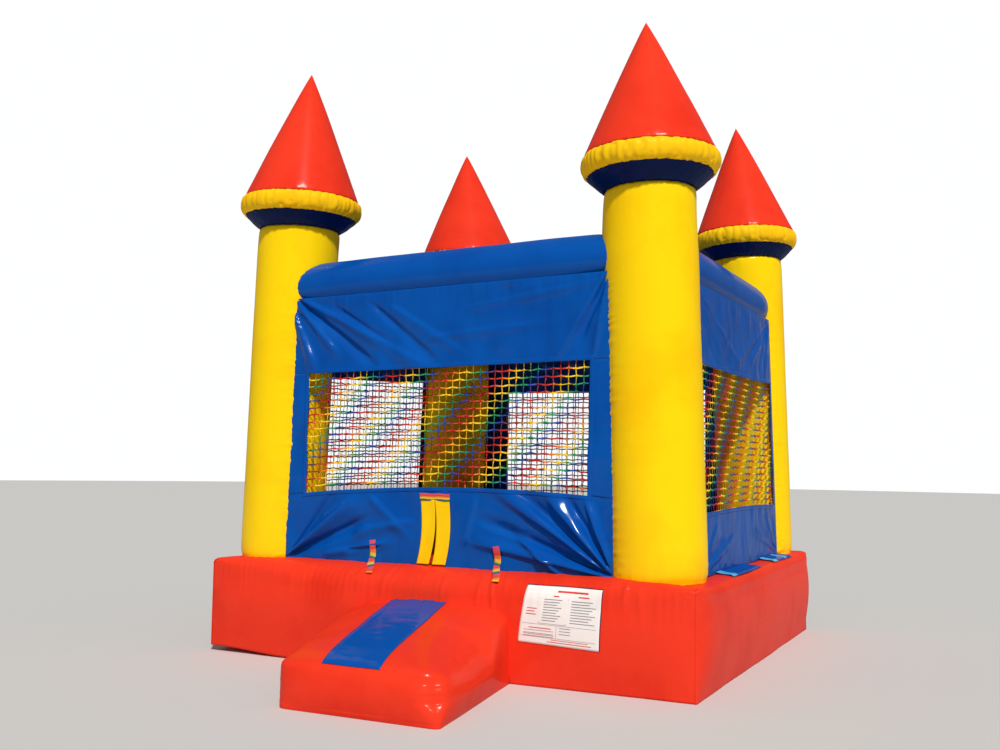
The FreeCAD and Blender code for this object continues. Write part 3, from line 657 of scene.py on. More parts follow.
def tower(name, sx, sy):
    """A column, its flared collar, its gathered band and its cone roof."""
    matrix = tower_matrix(sx, sy)
    set_by = TOWER_SET[name]
    seed = 100 + 10 * list(CORNERS).index(name)
    seams = (math.atan2(sy * WALL_OUT, -sx * CHORD), math.atan2(-sy * CHORD, sx * WALL_OUT))

    def ring(part, mat, slot, around, rows, profile, detail, height):
        label = "tower_%s_%s" % (part, name)
        piece = ring_skin(label, mat, matrix, set_by, around, rows, profile, detail, height)
        inflated(piece, slot, part + "_" + name)

    def column_profile(v):
        high = mix(-0.02, COLUMN, v)
        foot = 0.016 * fading(max(0.0, high), 0.03)
        return RADIUS - foot - 0.012 * fading(COLUMN - high, 0.025), high

    def column_detail(angle, v, radius, high):
        rise = 0.003 * circle_noise(angle, radius, 0.35, high / 0.5, seed, True)
        foot_gather = circle_noise(angle, radius, 0.05, high, seed + 1) - 0.5
        top_gather = circle_noise(angle, radius, 0.045, high, seed + 2) - 0.5
        rise += 0.006 * fading(max(0.0, high), 0.06) * foot_gather
        rise += 0.006 * fading(COLUMN - high, 0.07) * top_gather
        for k, seam in enumerate(seams):
            gap = abs((angle - seam + math.pi) % (2 * math.pi) - math.pi) * radius
            on_wall = 1 - ease(2.0, 2.15, high)
            rise -= 0.0035 * fading(gap, 0.012) * on_wall
            rise += 0.006 * on_wall * fading(gap, 0.1) * (pucker(high / 0.045, gap / 0.4, seed + 3 + k) - 0.5)
            knee = math.hypot(gap, high - 0.03)
            rise += 0.012 * bell(knee, 0.1) * (pucker(high / 0.03, gap / 0.1, seed + 5) - 0.5)
        return rise

    ring("column", YELLOW, "yellow_vinyl", 120, 190, column_profile, column_detail, COLUMN)

    def flare_profile(v):
        radius = mix(RADIUS - 0.008, FLARE_RADIUS - 0.006, v) + 0.008 * math.sin(math.pi * v)
        return radius, COLUMN + FLARE * v

    def flare_detail(angle, v, radius, high):
        gather = 0.3 + 0.7 * abs(2 * v - 1) ** 2
        return 0.013 * gather * (circle_noise(angle, radius, 0.05, v * 0.4, seed + 6) - 0.6)

    # The flare is blue vinyl; its navy is painted shade, as if the band above shadowed it.
    ring("flare", NAVY_BINDING_AND_FLARE_SHADE, "blue_vinyl", 220, 12, flare_profile, flare_detail, FLARE)

    def band_profile(v):
        swell = math.sin(math.pi * v) ** 0.7
        base = mix(FLARE_RADIUS - 0.008, SPIRE_RADIUS - 0.006, v)
        peak = BAND_RADIUS + 0.004 - (FLARE_RADIUS + SPIRE_RADIUS - 0.014) / 2
        return base + peak * swell, COLUMN + FLARE + BAND * (v - 0.03 * math.sin(2 * math.pi * v))

    def band_detail(angle, v, radius, high):
        gather = 0.55 + 0.45 * abs(2 * v - 1) ** 1.3
        fine = circle_noise(angle, radius, 0.05, v * 0.2, seed + 7) ** 0.6 - 0.75
        broad = circle_noise(angle, radius, 0.16, v * 0.3, seed + 8, True)
        return 0.02 * gather * fine + 0.005 * broad * math.sin(math.pi * v)

    # The band is the yellow vinyl in its more orange copy, a painted shade tint.
    ring("band", YELLOW_PAINTED_SHADE_TINT, "yellow_vinyl", 240, 24, band_profile, band_detail, BAND)

    foot = COLUMN + FLARE + BAND

    def spire_profile(v):
        share = v**1.15
        return SPIRE_RADIUS * (1 - share) ** 0.95 - 0.007 * fading(share, 0.012), mix(foot, TIP, share)

    def spire_detail(angle, v, radius, high):
        rise = 0.008 * fading(high - foot, 0.05) * (circle_noise(angle, radius, 0.05, v, seed + 9) - 0.5)
        rise += 0.003 * circle_noise(angle, radius + 0.1, 0.3, high / 0.4, seed, True) * min(1.0, radius / 0.2)
        gore = abs(math.sin(2 * (angle + 0.5)))
        return rise - 0.003 * math.exp(-gore * radius / 0.01) * min(1.0, radius / 0.1)

    ring("spire", RED, "red_vinyl", 128, 64, spire_profile, spire_detail, TIP - foot)


# ---------------------------------------------------------------- beams and roof
def beam_centre(side):
    return BEAM_OUT + (TOWER_Y if side in ACROSS else axis_x(BEAM_Z))


def beam_tilt(side, along):
    """The front beam hangs a little lower at its left end."""
    return 0.03 * along / 1.28 - 0.012 if side == "front" else 0.0


def beam(side):
    """A tube between two towers, cut to sit on their round sides."""
    centre = beam_centre(side)
    seed = 150 + SIDES.index(side)
    swept = side in ACROSS

    def place(u, v):
        angle = 2 * math.pi * v
        out, z = centre + BEAM_RADIUS * math.cos(angle), BEAM_Z + BEAM_RADIUS * math.sin(angle)
        if swept:
            end = axis_x(z) - math.sqrt(max(0.0, RADIUS**2 - (out - TOWER_Y) ** 2))
        else:
            end = TOWER_Y - math.sqrt(max(0.0, RADIUS**2 - (out - axis_x(z)) ** 2))
        along = (2 * u - 1) * (end + 0.004)
        gap = end - abs(along)
        tuck = (0.015 if side == "front" and along < 0 else 0.035) * fading(gap, 0.16)
        radius = BEAM_RADIUS - 0.014 * fading(gap, 0.02)
        turn = Vector((math.cos(angle), math.sin(angle))) * BEAM_RADIUS
        gather = hills(noise.noise(Vector((turn.x / 0.05, turn.y / 0.05, gap / 0.5 + seed))))
        radius += 0.009 * fading(gap, 0.08) * (gather - 0.5)
        radius += 0.004 * noise.noise(Vector((turn.x / 0.3, turn.y / 0.3, along / 0.4 + seed)))
        inside = WALL_OUT - BEAM_OUT - math.cos(angle) * BEAM_RADIUS - 0.01
        low_seam = abs(z - WALL_TOP) + 10 * max(0.0, inside)
        radius -= 0.006 * fading(low_seam, 0.02)
        z = BEAM_Z + beam_tilt(side, along) + radius * math.sin(angle)
        return on_side(side, along, centre - tuck + radius * math.cos(angle), z)

    piece = skin("wall_beam_" + side, BLUE, 150, 64, place, size=(2.7, 1.25), wrap=True)
    inflated(piece, "blue_vinyl", "beam_" + side)


def roof():
    """The shade: a slack sheet, tied to the beams and hanging a little in the middle."""
    half_x = axis_x(BEAM_Z) + BEAM_OUT - BEAM_RADIUS + 0.003
    half_y = TOWER_Y + BEAM_OUT - BEAM_RADIUS + 0.003

    def place(u, v):
        x, y = (2 * u - 1) * half_x, (2 * v - 1) * half_y
        middle = (1 - (2 * u - 1) ** 2) * (1 - (2 * v - 1) ** 2)
        edge = min(half_x - abs(x), half_y - abs(y))
        tuck = 0.012 * fading(edge, 0.15) * pucker((x + y) / 0.09, edge, 160)
        return Vector((x, y, BEAM_Z - 0.07 * middle - tuck + 0.01 * middle * soft(x / 0.5, y / 0.5, 161)))

    def clear(u, v):
        x, y = abs(2 * u - 1) * half_x, abs(2 * v - 1) * half_y
        return math.hypot(x - axis_x(BEAM_Z), y - TOWER_Y) > RADIUS

    piece = skin("roof_shade", BLUE, 110, 110, place, size=(2 * half_x, 2 * half_y), offset=0.0, keep=clear)
    put(piece, "blue_vinyl", "roof_panel")


# ---------------------------------------------------------------- walls
# Folds in the front wall, above and below its window, as ridges takes them
UPPER_FOLDS = [
    (-1.36, 2.83, -1.1, 2.2, 0.016, 0.05, 0.03), (-1.3, 2.83, -0.9, 2.33, 0.016, 0.04, 0.024),
    (-1.28, 2.83, -0.57, 2.24, 0.014, 0.045, -0.03), (-1.25, 2.84, -0.1, 2.2, 0.014, 0.06, 0.026),
    (-0.95, 2.76, -0.3, 2.3, 0.02, 0.05, -0.016), (-0.62, 2.76, 0.0, 2.22, 0.02, 0.05, -0.02),
    (-0.45, 2.72, 0.2, 2.3, 0.03, 0.05, 0.012), (1.3, 2.84, 1.08, 2.36, 0.014, 0.04, -0.02),
    (1.3, 2.84, 1.2, 2.25, 0.012, 0.03, 0.018), (1.28, 2.84, 0.9, 2.22, 0.016, 0.05, 0.016),
    (-0.15, 2.45, 0.85, 2.52, 0.03, 0.03, 0.008), (0.2, 2.66, 1.2, 2.78, 0.03, 0.02, 0.007),
]
LOWER_FOLDS = [
    (-1.38, 0.75, -0.72, 1.24, 0.014, 0.06, 0.045), (-1.37, 0.76, -0.6, 1.1, 0.012, 0.06, -0.035),
    (-1.36, 0.76, -0.9, 1.3, 0.012, 0.05, -0.025), (-1.0, 0.8, -0.4, 0.92, 0.03, 0.03, 0.02),
    (-0.75, 0.98, -0.2, 1.08, 0.04, 0.03, 0.018), (-0.8, 0.84, -0.5, 0.88, 0.02, 0.012, -0.02),
    (-0.6, 1.25, -0.25, 0.95, 0.03, 0.04, 0.014), (1.37, 0.77, 0.45, 1.33, 0.012, 0.07, 0.035),
    (1.37, 0.77, 0.62, 1.33, 0.012, 0.045, -0.03), (1.37, 0.78, 0.85, 1.31, 0.012, 0.05, 0.036),
    (1.37, 0.79, 1.0, 1.3, 0.01, 0.035, -0.026), (1.37, 0.8, 1.15, 1.29, 0.01, 0.035, 0.03),
    (1.37, 0.76, 0.3, 1.12, 0.012, 0.05, -0.03), (1.36, 0.75, 0.25, 0.95, 0.01, 0.05, 0.028),
    (0.95, 0.76, 0.62, 1.02, 0.014, 0.04, 0.024), (0.3, 1.28, 0.2, 0.9, 0.03, 0.04, 0.012),
]
WINDOW_BOX = {side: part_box("window_net_" + side) for side in SIDES}
NET_CELL = 0.058


def wall_out(side, z):
    return WALL if side in ACROSS else axis_x(z) + WALL_OUT


def wall_edge(side, z):
    """Half the wall's width at a height."""
    return (axis_x(z) if side in ACROSS else TOWER_Y) - CHORD


def on_wall(side, along, z, lines, lift=0.0):
    """A point on a loose wall. The front wall's ends stand a little off their true lines."""
    true_z = z - beam_tilt(side, along) * ease(2.25, 2.8, z)
    out = wall_out(side, z) + wall_folds(side, along, true_z, lines) + lift
    if side == "front":
        share = (z - TOP) / (WALL_TOP - TOP)
        stray = -0.034 * ease(0.0, 0.3, share) if along < 0 else mix(-0.02, 0.02, share)
        along += stray * (along / 1.3) ** 2
    return on_side(side, along, out, z)


def window_half(side):
    low, high = WINDOW_BOX[side]
    return high.x if side in ACROSS else high.y


def sill(side, along):
    if side == "front":
        return 1.33 - 0.05 * (along / 1.175) ** 2 + 0.016 * along
    return WINDOW_BOX[side][0].z + 0.015 * (1 - (along / 1.04) ** 2)


def head(side, along):
    if side == "front":
        return 2.224 + 0.019 * along
    rise = 0.035 * (1 - along / 1.04) if side == "left" else 0.0
    return WINDOW_BOX[side][1].z - 0.012 * (1 - (along / 1.04) ** 2) + rise


def wall_folds(side, along, z, lines):
    """How far a loose wall stands out of its plane: folds and soft billows that die out at the seams."""
    seed = 170 + 10 * SIDES.index(side)
    gap = wall_edge(side, z) - abs(along)
    loose = ease(0.0, 0.1, gap) * ease(0.0, 0.07, WALL_TOP - z)
    loose *= 1.0 if side == "front" else 0.6
    rise = loose * (0.015 * soft(along / 0.3, z / 0.28, seed) + 0.01 * soft(along / 0.12, z / 0.25, seed + 1))
    rise += 0.007 * fading(gap, 0.06) * (pucker(z / 0.06, gap / 0.3, seed + 2) - 0.5) * ease(0.0, 0.01, gap)
    hang = WALL_TOP - z
    gather = 0.008 if side == "front" else 0.004
    rise += gather * fading(hang, 0.12) * (pucker(along / 0.07, z / 0.5, seed + 3) - 0.5) * ease(0, 0.02, hang)
    if side != "front":
        rise += 0.004 * loose * (pucker(along / 0.14, z / 1.2, seed + 4) - 0.5)
    return rise + ridges(along, z, lines) * ease(0.0, 0.03, gap)


def side_lines(seed):
    """Folds that run in from the upper corners of a side or back wall."""
    lines = []
    for way in (-1, 1):
        for i in range(5):
            along, z = way * (1.0 - 0.28 * i + 0.05 * soft(i, seed, 9)), 2.28 + 0.04 * (i % 3)
            lines.append((way * 1.19, 2.82, along, z, 0.012, 0.045, (0.009, -0.008)[i % 2]))
    return lines


def foot_lines(seed):
    """Folds that run in from its lower corners."""
    lines = []
    for way in (-1, 1):
        for i in range(4):
            along = way * (1.02 - 0.24 * i + 0.05 * soft(i, seed, 8))
            lines.append((way * 1.2, 0.76, along, 1.12 - 0.05 * i, 0.01, 0.04, (-0.008, 0.009)[i % 2]))
    return lines


def wall_sheet(name, side, node, low, high, lines, nx, ny, flat):
    """A loose piece of wall from tower to tower, between two lines."""

    def place(u, v):
        rough = (2 * u - 1) * wall_edge(side, 2.0)
        z = mix(low(side, rough), high(side, rough), v)
        along = (2 * u - 1) * wall_edge(side, z)
        z = mix(low(side, along), high(side, along), v)
        return on_wall(side, along, z, lines)

    piece = skin(name, BLUE, nx, ny, place, size=flat, offset=0.0)
    put(piece, "blue_vinyl", node)


def foot(side, along):
    """The wall's lower hem. In front it rides up between the straps."""
    if side != "front":
        return TOP + 0.002
    return TOP + 0.008 + 0.004 * soft(along / 0.3, 0, 190)


def top_line(side, along):
    return WALL_TOP + beam_tilt(side, along)


def door_drift(z):
    """How far the loose doorway hangs out of plumb: to the right half way down, to the left at its foot."""
    share = max(0.0, (DOOR_HEAD - z) / (DOOR_HEAD - TOP))
    return 0.016 * math.sin(math.pi * share) - 0.036 * share**2.5


def front_lower_wall():
    """The lower front wall, with the doorway left open."""
    nx, ny = 260, 84
    left, right, split = 108 / nx, 132 / nx, 0.86  # the doorway's sides and head, on whole rows of faces
    door = (DOOR_LEFT - 0.0015, DOOR_RIGHT + 0.0015)

    def place(u, v):
        edge = wall_edge("front", 1.0)
        if u < left:
            along = mix(-edge, door[0], u / left)
        elif u > right:
            along = mix(door[1], edge, (u - right) / (1 - right))
        else:
            along = mix(door[0], door[1], (u - left) / (right - left))
        low, high = foot("front", along), sill("front", along)
        z = mix(low, DOOR_HEAD, v / split) if v < split else mix(DOOR_HEAD, high, (v - split) / (1 - split))
        along *= wall_edge("front", z) / edge if not door[0] - 0.3 < along < door[1] + 0.3 else 1
        near_door = min(abs(along - door[0]), abs(along - door[1]))
        inside = door[0] <= along <= door[1]
        calm = 0.0 if inside else ease(0.0, 0.12, near_door)
        kick = 0.03 * ease(-0.75, -0.6, along) * (1 - ease(-0.56, -0.47, along)) * fading(z - TOP, 0.07)
        drift = door_drift(z) * math.exp(-max(0.0, near_door - 0.02) / 0.2 * (not inside))
        point = on_wall("front", along, z, LOWER_FOLDS, kick)
        point.y = mix(-WALL, point.y, calm)
        point.x += drift
        return point

    def keep(u, v):
        return not (left < u < right and v < split)

    piece = skin("lower_wall_front", BLUE, nx, ny, place, size=(2.76, 0.6), offset=0.0, keep=keep)
    put(piece, "blue_vinyl", "lower_panel_front")
    return piece


CORD, KNOT = 0.0115, 0.0085  # the net's cord, side to side, and a knot's radius


def net(side):
    """Knotted net: every cell a square of cord, pulled a little out of true, with a knot where cords meet."""
    half = window_half(side)
    columns, rows = round(2 * half / NET_CELL), round((head(side, 0) - sill(side, 0)) / NET_CELL * 1.12)

    def place(u, v):
        i, j = round(u * columns), round(v * rows)
        along = (2 * u - 1) * (half + 0.004)
        z = mix(sill(side, along) - 0.004, head(side, along) + 0.004, v)
        inside = min(u, 1 - u, v, 1 - v) > 0.001
        turn = (-1) ** (i + j) * inside
        slack = 0.012 * math.sin(math.pi * u) * math.sin(math.pi * v)
        along += (0.0022 * turn + 0.004 * soft(i * 0.7, j * 0.7, 200)) * inside
        z += (0.0035 * turn + 0.004 * soft(i * 0.7, j * 0.7, 202)) * inside
        return on_wall(side, along, z, (), -0.016 - slack * (0.6 + soft(along / 0.4, z / 0.4, 201)))

    bm = laid_grid(columns, rows, place)
    knots = [v.co.copy() for v in bm.verts]
    bmesh.ops.wireframe(
        bm, faces=bm.faces[:], thickness=CORD, use_replace=True, use_boundary=True, use_even_offset=False
    )
    for knot in knots:
        bmesh.ops.create_icosphere(bm, subdivisions=1, radius=KNOT, matrix=Matrix.Translation(knot))
    put(finished(bm, "rainbow_net_" + side, NET), "rainbow_net", "window_net_" + side)


def window_hem(side):
    """A folded binding sewn round the window, over the edge of the net."""
    half = window_half(side)
    width, steps = 0.032, 64

    def place(u, v):
        k = u * 4
        leg, t = int(k) % 4, k - int(k)
        if u > 0.9999:
            leg, t = 0, 0.0
        inset = width * (v - 0.9)
        corners = [(-1, -1), (1, -1), (1, 1), (-1, 1)]
        (a0, z0), (a1, z1) = corners[leg], corners[(leg + 1) % 4]
        sa, sz = mix(a0, a1, t), mix(z0, z1, t)
        along = sa * (half - inset)
        z = (sill(side, along) + inset) if sz == -1 else (head(side, along) - inset)
        if leg in (1, 3):
            z = mix(sill(side, along) + inset, head(side, along) - inset, (sz + 1) / 2)
        lines = {"front": UPPER_FOLDS + LOWER_FOLDS}.get(side, [])
        return on_wall(side, along, z, lines, 0.002 + 0.0025 * (1 - (2 * v - 1) ** 4))

    piece = skin("window_hem_" + side, BLUE, 4 * steps, 6, place, thick=0.0015, offset=-1.0,
                 size=(4 * half + 2, width), wrap=True)
    put(piece, "blue_vinyl")


def walls():
    """All four walls with their windows. Returns the lower front wall."""
    for seed, side in enumerate(SIDES):
        lines = UPPER_FOLDS if side == "front" else side_lines(seed)
        size = (2 * wall_edge(side, 2.5), WALL_TOP - head(side, 0))
        wall_sheet("upper_wall_" + side, side, "upper_panel_" + side, head, top_line, lines, 230, 56, size)
        if side == "front":
            loose_wall = front_lower_wall()
        else:
            size = (2 * wall_edge(side, 1.0), sill(side, 0) - TOP)
            lines = foot_lines(seed)
            wall_sheet("lower_wall_" + side, side, "lower_panel_" + side, foot, sill, lines, 190, 44, size)
        size = (wall_edge(side, 1.75) - window_half(side), head(side, 0) - sill(side, 0))
        lines = UPPER_FOLDS + LOWER_FOLDS if side == "front" else []
        for way, name in ((-1, "left"), (1, "right")):
            side_strip(side, way, "window_strip_%s_%s" % (side, name), lines, size)
        net(side)
        window_hem(side)
    return loose_wall


def side_strip(side, way, name, lines, flat):
    """The piece of wall between a window and a tower."""
    half = window_half(side)

    def place(u, v):
        z = mix(sill(side, way * half), head(side, way * half), v)
        edge = wall_edge(side, z)
        along = mix(half, edge, u) if way > 0 else mix(-edge, -half, u)
        z = mix(sill(side, along), head(side, along), v)
        return on_wall(side, along, z, lines)

    piece = skin(name, BLUE, 18, 60, place, size=flat, offset=0.0)
    put(piece, "blue_vinyl", "side_strips")


# ---------------------------------------------------------------- entrance
def door_flap(name, outer, inner):
    """One yellow flap, hanging from the header and curling a little where it meets the other."""
    way = 1 if inner > outer else -1

    def place(u, v):
        share = u if way > 0 else 1 - u
        z = mix(TOP + 0.036, DOOR_HEAD - 0.001, v)
        open_up = 0.013 * (1 - v) ** 1.5
        x = mix(outer, inner - way * open_up, share) + door_drift(z)
        curl = -0.012 * (1 - v) * share**2 * (1 if way > 0 else 0.5)
        wave = 0.006 * soft(share * 1.4, v * 3.0, 210 + way) * ease(0.0, 0.3, share)
        wave += 0.004 * share * math.sin(5 * v)
        return Vector((x, -WALL + 0.001 + curl + wave * 0.8, z))

    label = "door_flap_" + name + "_vinyl"
    piece = skin(label, YELLOW, 16, 60, place, size=(0.12, 0.48), thick=0.0016, offset=0.0)
    put(piece, "yellow_vinyl", "door_flap_" + name, body="door_flap_" + name)


def strap(name, width, points, normals, mat=RAINBOW, pattern=None):
    """Webbing that follows a line of points and faces out along the normals, with the length of the line. Its
    stripes run along it, or across it and repeat over the pattern's length."""
    count = len(points) - 1

    def place(u, v):
        spot = v * count
        i = min(count - 1, int(spot))
        centre = points[i].lerp(points[i + 1], spot - i)
        ahead = (points[i + 1] - points[i]).normalized()
        normal = normals[i].lerp(normals[i + 1], spot - i).normalized()
        across = ahead.cross(normal).normalized()
        return centre + across * (u - 0.5) * width + normal * 0.0012 * (1 - (2 * u - 1) ** 6)

    length = sum((b - a).length for a, b in zip(points, points[1:]))
    steps = max(12, 6 * count)
    if pattern:
        size = (length / pattern, width)
        return skin(name, mat, steps, 8, lambda u, v: place(v, u), thick=0.0018, offset=0.0, size=size), length
    return skin(name, mat, 8, steps, place, thick=0.0018, offset=0.0, size=(0.999, length)), length


def entrance(tree):
    """The webbing over the door and the two straps beside it, which lie on what the tree holds."""
    width = 0.052
    z = DOOR_HEAD + width / 2 - 0.006
    half = (DOOR_RIGHT - DOOR_LEFT) / 2 + 0.004
    points = []
    for i in range(13):
        x = mix(DOOR_X - half, DOOR_X + half, i / 12)
        points.append(Vector((x, -WALL - 0.004 - 0.002 * math.sin(i * 0.9), z + 0.002 * math.sin(i))))
    piece, length = strap("door_header", width, points, [Vector((0, -1, 0))] * 13)
    put(piece, "rainbow_webbing", "entrance_webbing")
    heights = (0.925, 0.88, 0.84, 0.81, 0.79, 0.775, 0.765, 0.755, 0.745, 0.73, 0.712, 0.695)
    for way, name in ((-1, "left"), (1, "right")):
        points, normals = [], []
        for i, z in enumerate(heights):
            along = DOOR_X + way * 0.523 + 0.06 * ease(4, 11, i) + 0.01 * math.sin(i * 0.8)
            spots = [Vector((along + a, -3.5, z + b)) for a in (-0.02, 0, 0.02) for b in (-0.012, 0, 0.012)]
            front = min(tree.ray_cast(spot, Vector((0, 1, 0)))[0].y for spot in spots)
            points.append(Vector((along, front - 0.006, z)))
        eased = [(a + b * 2 + c) / 4 for a, b, c in zip(points, points[1:], points[2:])]
        points = [points[0], *eased, points[-1]]
        for before, after in zip(points[:1] + points[:-1], points[1:] + points[-1:]):
            run = after - before
            normals.append(Vector((0, run.z, -run.y)).normalized())
        piece, length = strap("entrance_strap_" + name, 0.052, points, normals, pattern=0.13)
        put(piece, "rainbow_webbing", "entrance_webbing")


def rules_panel(base_piece):
    """A white banner sewn to the base, with plain bars for its print."""
    low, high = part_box("rules_panel")
    tree = tree_of(base_piece)

    def spot(u, v, lift):
        x = mix(low.x, high.x, u) + v * mix(0.038, 0.018, u) - 0.015 * (1 - v) * (1 - u)
        z = mix(low.z, high.z, v) + 0.022 * (1 - v) * (1 - u)
        hit = tree.ray_cast(Vector((x, -3.5, z)), Vector((0, 1, 0)))[0]
        return hit - Vector((0, lift, 0))

    size = (high.x - low.x, high.z - low.z)
    face = lambda u, v: spot(u, v, 0.004)
    piece = skin("rules_banner", WHITE, 40, 30, face, size=size, thick=0.0012, offset=0.0)
    put(piece, "white_vinyl", "rules_panel")
    heading = [
        (0.42, 0.9, 0.82, 0.93), (0.38, 0.825, 0.45, 0.845), (0.7, 0.835, 0.84, 0.855), (0.06, 0.5, 0.19, 0.515),
        (0.06, 0.55, 0.17, 0.565), (0.06, 0.6, 0.19, 0.615), (0.12, 0.27, 0.4, 0.285), (0.06, 0.16, 0.44, 0.168),
        (0.36, 0.05, 0.9, 0.062), (0.4, 0.09, 0.86, 0.1),
    ]
    print_lines = []
    for row in range(9):
        z = 0.77 - 0.045 * row
        print_lines.append((0.27, z, 0.5 - 0.03 * (row % 3), z + 0.012))
        print_lines.append((0.62, z - 0.005, 0.93 - 0.04 * ((row + 1) % 3), z + 0.007))
    for row in range(3):
        z = 0.3 - 0.05 * row
        print_lines.append((0.5, z, 0.64, z + 0.01))
        print_lines.append((0.06, z - 0.07, 0.43, z - 0.062))
    print_lines += [
        (0.23, 0.36, 0.235, 0.8), (0.57, 0.36, 0.575, 0.8), (0.23, 0.36, 0.575, 0.366),
        (0.03, 0.34, 0.95, 0.345), (0.46, 0.12, 0.464, 0.34), (0.03, 0.12, 0.95, 0.125),
    ]
    for name, mat, boxes in (("banner_heading", INK_RED, heading), ("banner_lines", INK_GREY, print_lines)):
        joined = bmesh.new()
        for u0, v0, u1, v1 in boxes:
            part = laid_grid(8, 1, lambda u, v: spot(mix(u0, u1, u), mix(v0, v1, v), 0.0055))
            mesh = bpy.data.meshes.new("bar")
            part.to_mesh(mesh)
            part.free()
            joined.from_mesh(mesh)
            bpy.data.meshes.remove(mesh)
        put(finished(joined, name, mat), "white_vinyl")
    edge_points, edge_normals = [], []
    for i in range(41):
        t = i / 40
        u, v = (1.0, mix(0.0, 1.0, t * 2)) if t < 0.5 else (mix(1.0, 0.0, t * 2 - 1), 1.0)
        edge_points.append(spot(u, v, 0.006))
        edge_normals.append(Vector((0, -1, 0)))
    put(seam_tape("banner_binding", NAVY_BINDING_AND_FLARE_SHADE, edge_points, edge_normals, 0.006, 0.002), "blue_vinyl")


def hold_down_tabs():
    """Blue flaps that run from the foot of a side wall over the top of the base, with pale blue strips laid on
    them: painted highlights, standing in for light catching the tabs' ends.
    """
    low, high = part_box("hold_down_tabs")
    inner = axis_x(TOP) + WALL_OUT
    for side in ("right", "left"):
        for number, (start, end) in enumerate(((-0.85, 0.0), (0.68, 1.2))):

            def place(u, v):
                along = mix(start, end, u)
                out = mix(inner + 0.001, high.x, v)
                z = TOP + 0.005 + 0.004 * soft(along / 0.2, v, 220 + number) * v + 0.012 * (1 - v) ** 3
                z -= 0.012 * ease(0.8, 1.0, v)
                return on_side(side, along if side == "right" else -along, out, z)

            length = end - start
            name = "hold_down_tab_%s_%d" % (side, number + 1)
            piece = skin(name, BLUE, 50, 12, place, size=(length, high.x - inner), offset=0.0)
            put(piece, "blue_vinyl", "hold_down_tabs")
            # Pale blue strips meant for the tab's two ends, painted highlights. This loop's end hides the tab's
            # own end that place reads, so three of each side's four lie away from the ends.
            for end, wide in ((0.0, 0.14), (1.0, 0.04)):
                inset = wide / 2 / length * (1 - 2 * end)
                path = [place(end + inset, t / 12) + Vector((0, 0, 0.0015)) for t in range(13)]
                label = "%s_binding_%d" % (name, end + 1)
                put(seam_tape(label, PAINTED_HIGHLIGHT_BLUE, path, [Vector((0, 0, 1))] * 13, wide, 0.002), "blue_vinyl")


# ---------------------------------------------------------------- back of the house
STRAP_LOW, STRAP_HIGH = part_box("sleeve_strap")
STRAP_Y = (STRAP_LOW.y + STRAP_HIGH.y) / 2


def blower_sleeve():
    """The sleeve that the blower fills, tied with a strap that has a ladder buckle."""
    low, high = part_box("inflation_sleeve")
    centre = (low + high) / 2
    radius = (high.x - low.x) / 2

    def place(u, v):
        angle = -2 * math.pi * (u if u < 0.9999 else 0.0)
        start = HALF_DEPTH + BULGE * 0.95
        y = mix(start - 0.03, high.y, v)
        ring = Vector((math.cos(angle), math.sin(angle))) * radius
        crease = hills(noise.noise(Vector((ring.x / 0.09, ring.y / 0.09, y / 0.06))))
        slack = ease(0.0, 0.15, v) * (1 - ease(0.97, 1.0, v))
        r = radius - 0.006 * crease * slack
        r -= 0.004 * bell(y - STRAP_Y, 0.03)
        r -= 0.004 * fading(y - start, 0.04) * pucker(angle * 3, 0, 230)
        return Vector((centre.x + r * math.cos(angle), y, centre.z + r * math.sin(angle)))

    piece = skin("blower_sleeve", RED, 96, 90, place, size=(0.89, 0.7), wrap=True)
    put(piece, "red_vinyl", "inflation_sleeve")
    strap_radius = radius + 0.0006
    points, normals = [], []
    for i in range(73):
        angle = 2 * math.pi * i / 72
        normal = Vector((math.cos(angle), 0, math.sin(angle)))
        points.append(Vector((centre.x, STRAP_Y, centre.z)) + normal * strap_radius)
        normals.append(normal)
    piece, length = strap("sleeve_tie_strap", 0.04, points, normals, mat=BLACK_WEBBING)
    put(piece, "black_webbing", "sleeve_strap")
    bm = bmesh.new()
    for x in (-0.021, 0.0, 0.021):
        bar = Matrix.Translation((x, 0, 0)) @ Matrix.Diagonal((0.005, 0.046, 0.005, 1))
        bmesh.ops.create_cube(bm, size=1.0, matrix=bar)
    for y in (-0.0205, 0.0205):
        bar = Matrix.Translation((0, y, 0)) @ Matrix.Diagonal((0.037, 0.005, 0.0048, 1))
        bmesh.ops.create_cube(bm, size=1.0, matrix=bar)
    bmesh.ops.bevel(bm, geom=bm.edges[:], offset=0.001, affect="EDGES", segments=2, profile=0.5, material=-1)
    bmesh.ops.translate(bm, verts=bm.verts[:], vec=(centre.x, STRAP_Y, high.z + 0.006))
    put(finished(bm, "sleeve_buckle", ZINC), "plated_steel")


def zip_teeth():
    """Moulded zip teeth along the tape."""
    low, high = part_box("zip_tape")
    bm = bmesh.new()
    z = (low.z + high.z) / 2
    y = high.y - 0.0032
    count = 94
    for i in range(count):
        x = mix(low.x + 0.004, high.x - 0.004, i / (count - 1))
        spot = Matrix.Translation((x, y, z + 0.0012 * (-1) ** i)) @ Matrix.Diagonal((0.0038, 0.003, 0.0052, 1))
        bmesh.ops.create_cube(bm, size=1.0, matrix=spot)
    piece = finished(bm, "zip_moulded_teeth", BLACK_WEBBING)
    piece.data.polygons.foreach_set("use_smooth", [False] * len(piece.data.polygons))
    put(piece, "black_webbing")


# ---------------------------------------------------------------- frame nodes that stay
def finish_frame_nodes():
    """Looks for the frame nodes that no piece replaces."""
    mats = {"internal_baffles": RED, "anchor_tabs": BLACK_WEBBING_CAD,
            "zip_tape": BLACK_WEBBING_CAD, "zip_slider": NICKEL, "zip_pull": NICKEL}
    for name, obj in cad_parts.items():
        mat = ZINC if name.startswith("anchor_ring") else mats.get(name)
        if mat and obj.material_slots:
            obj.material_slots[0].material = mat
        elif mat:
            obj.data.materials.append(mat)


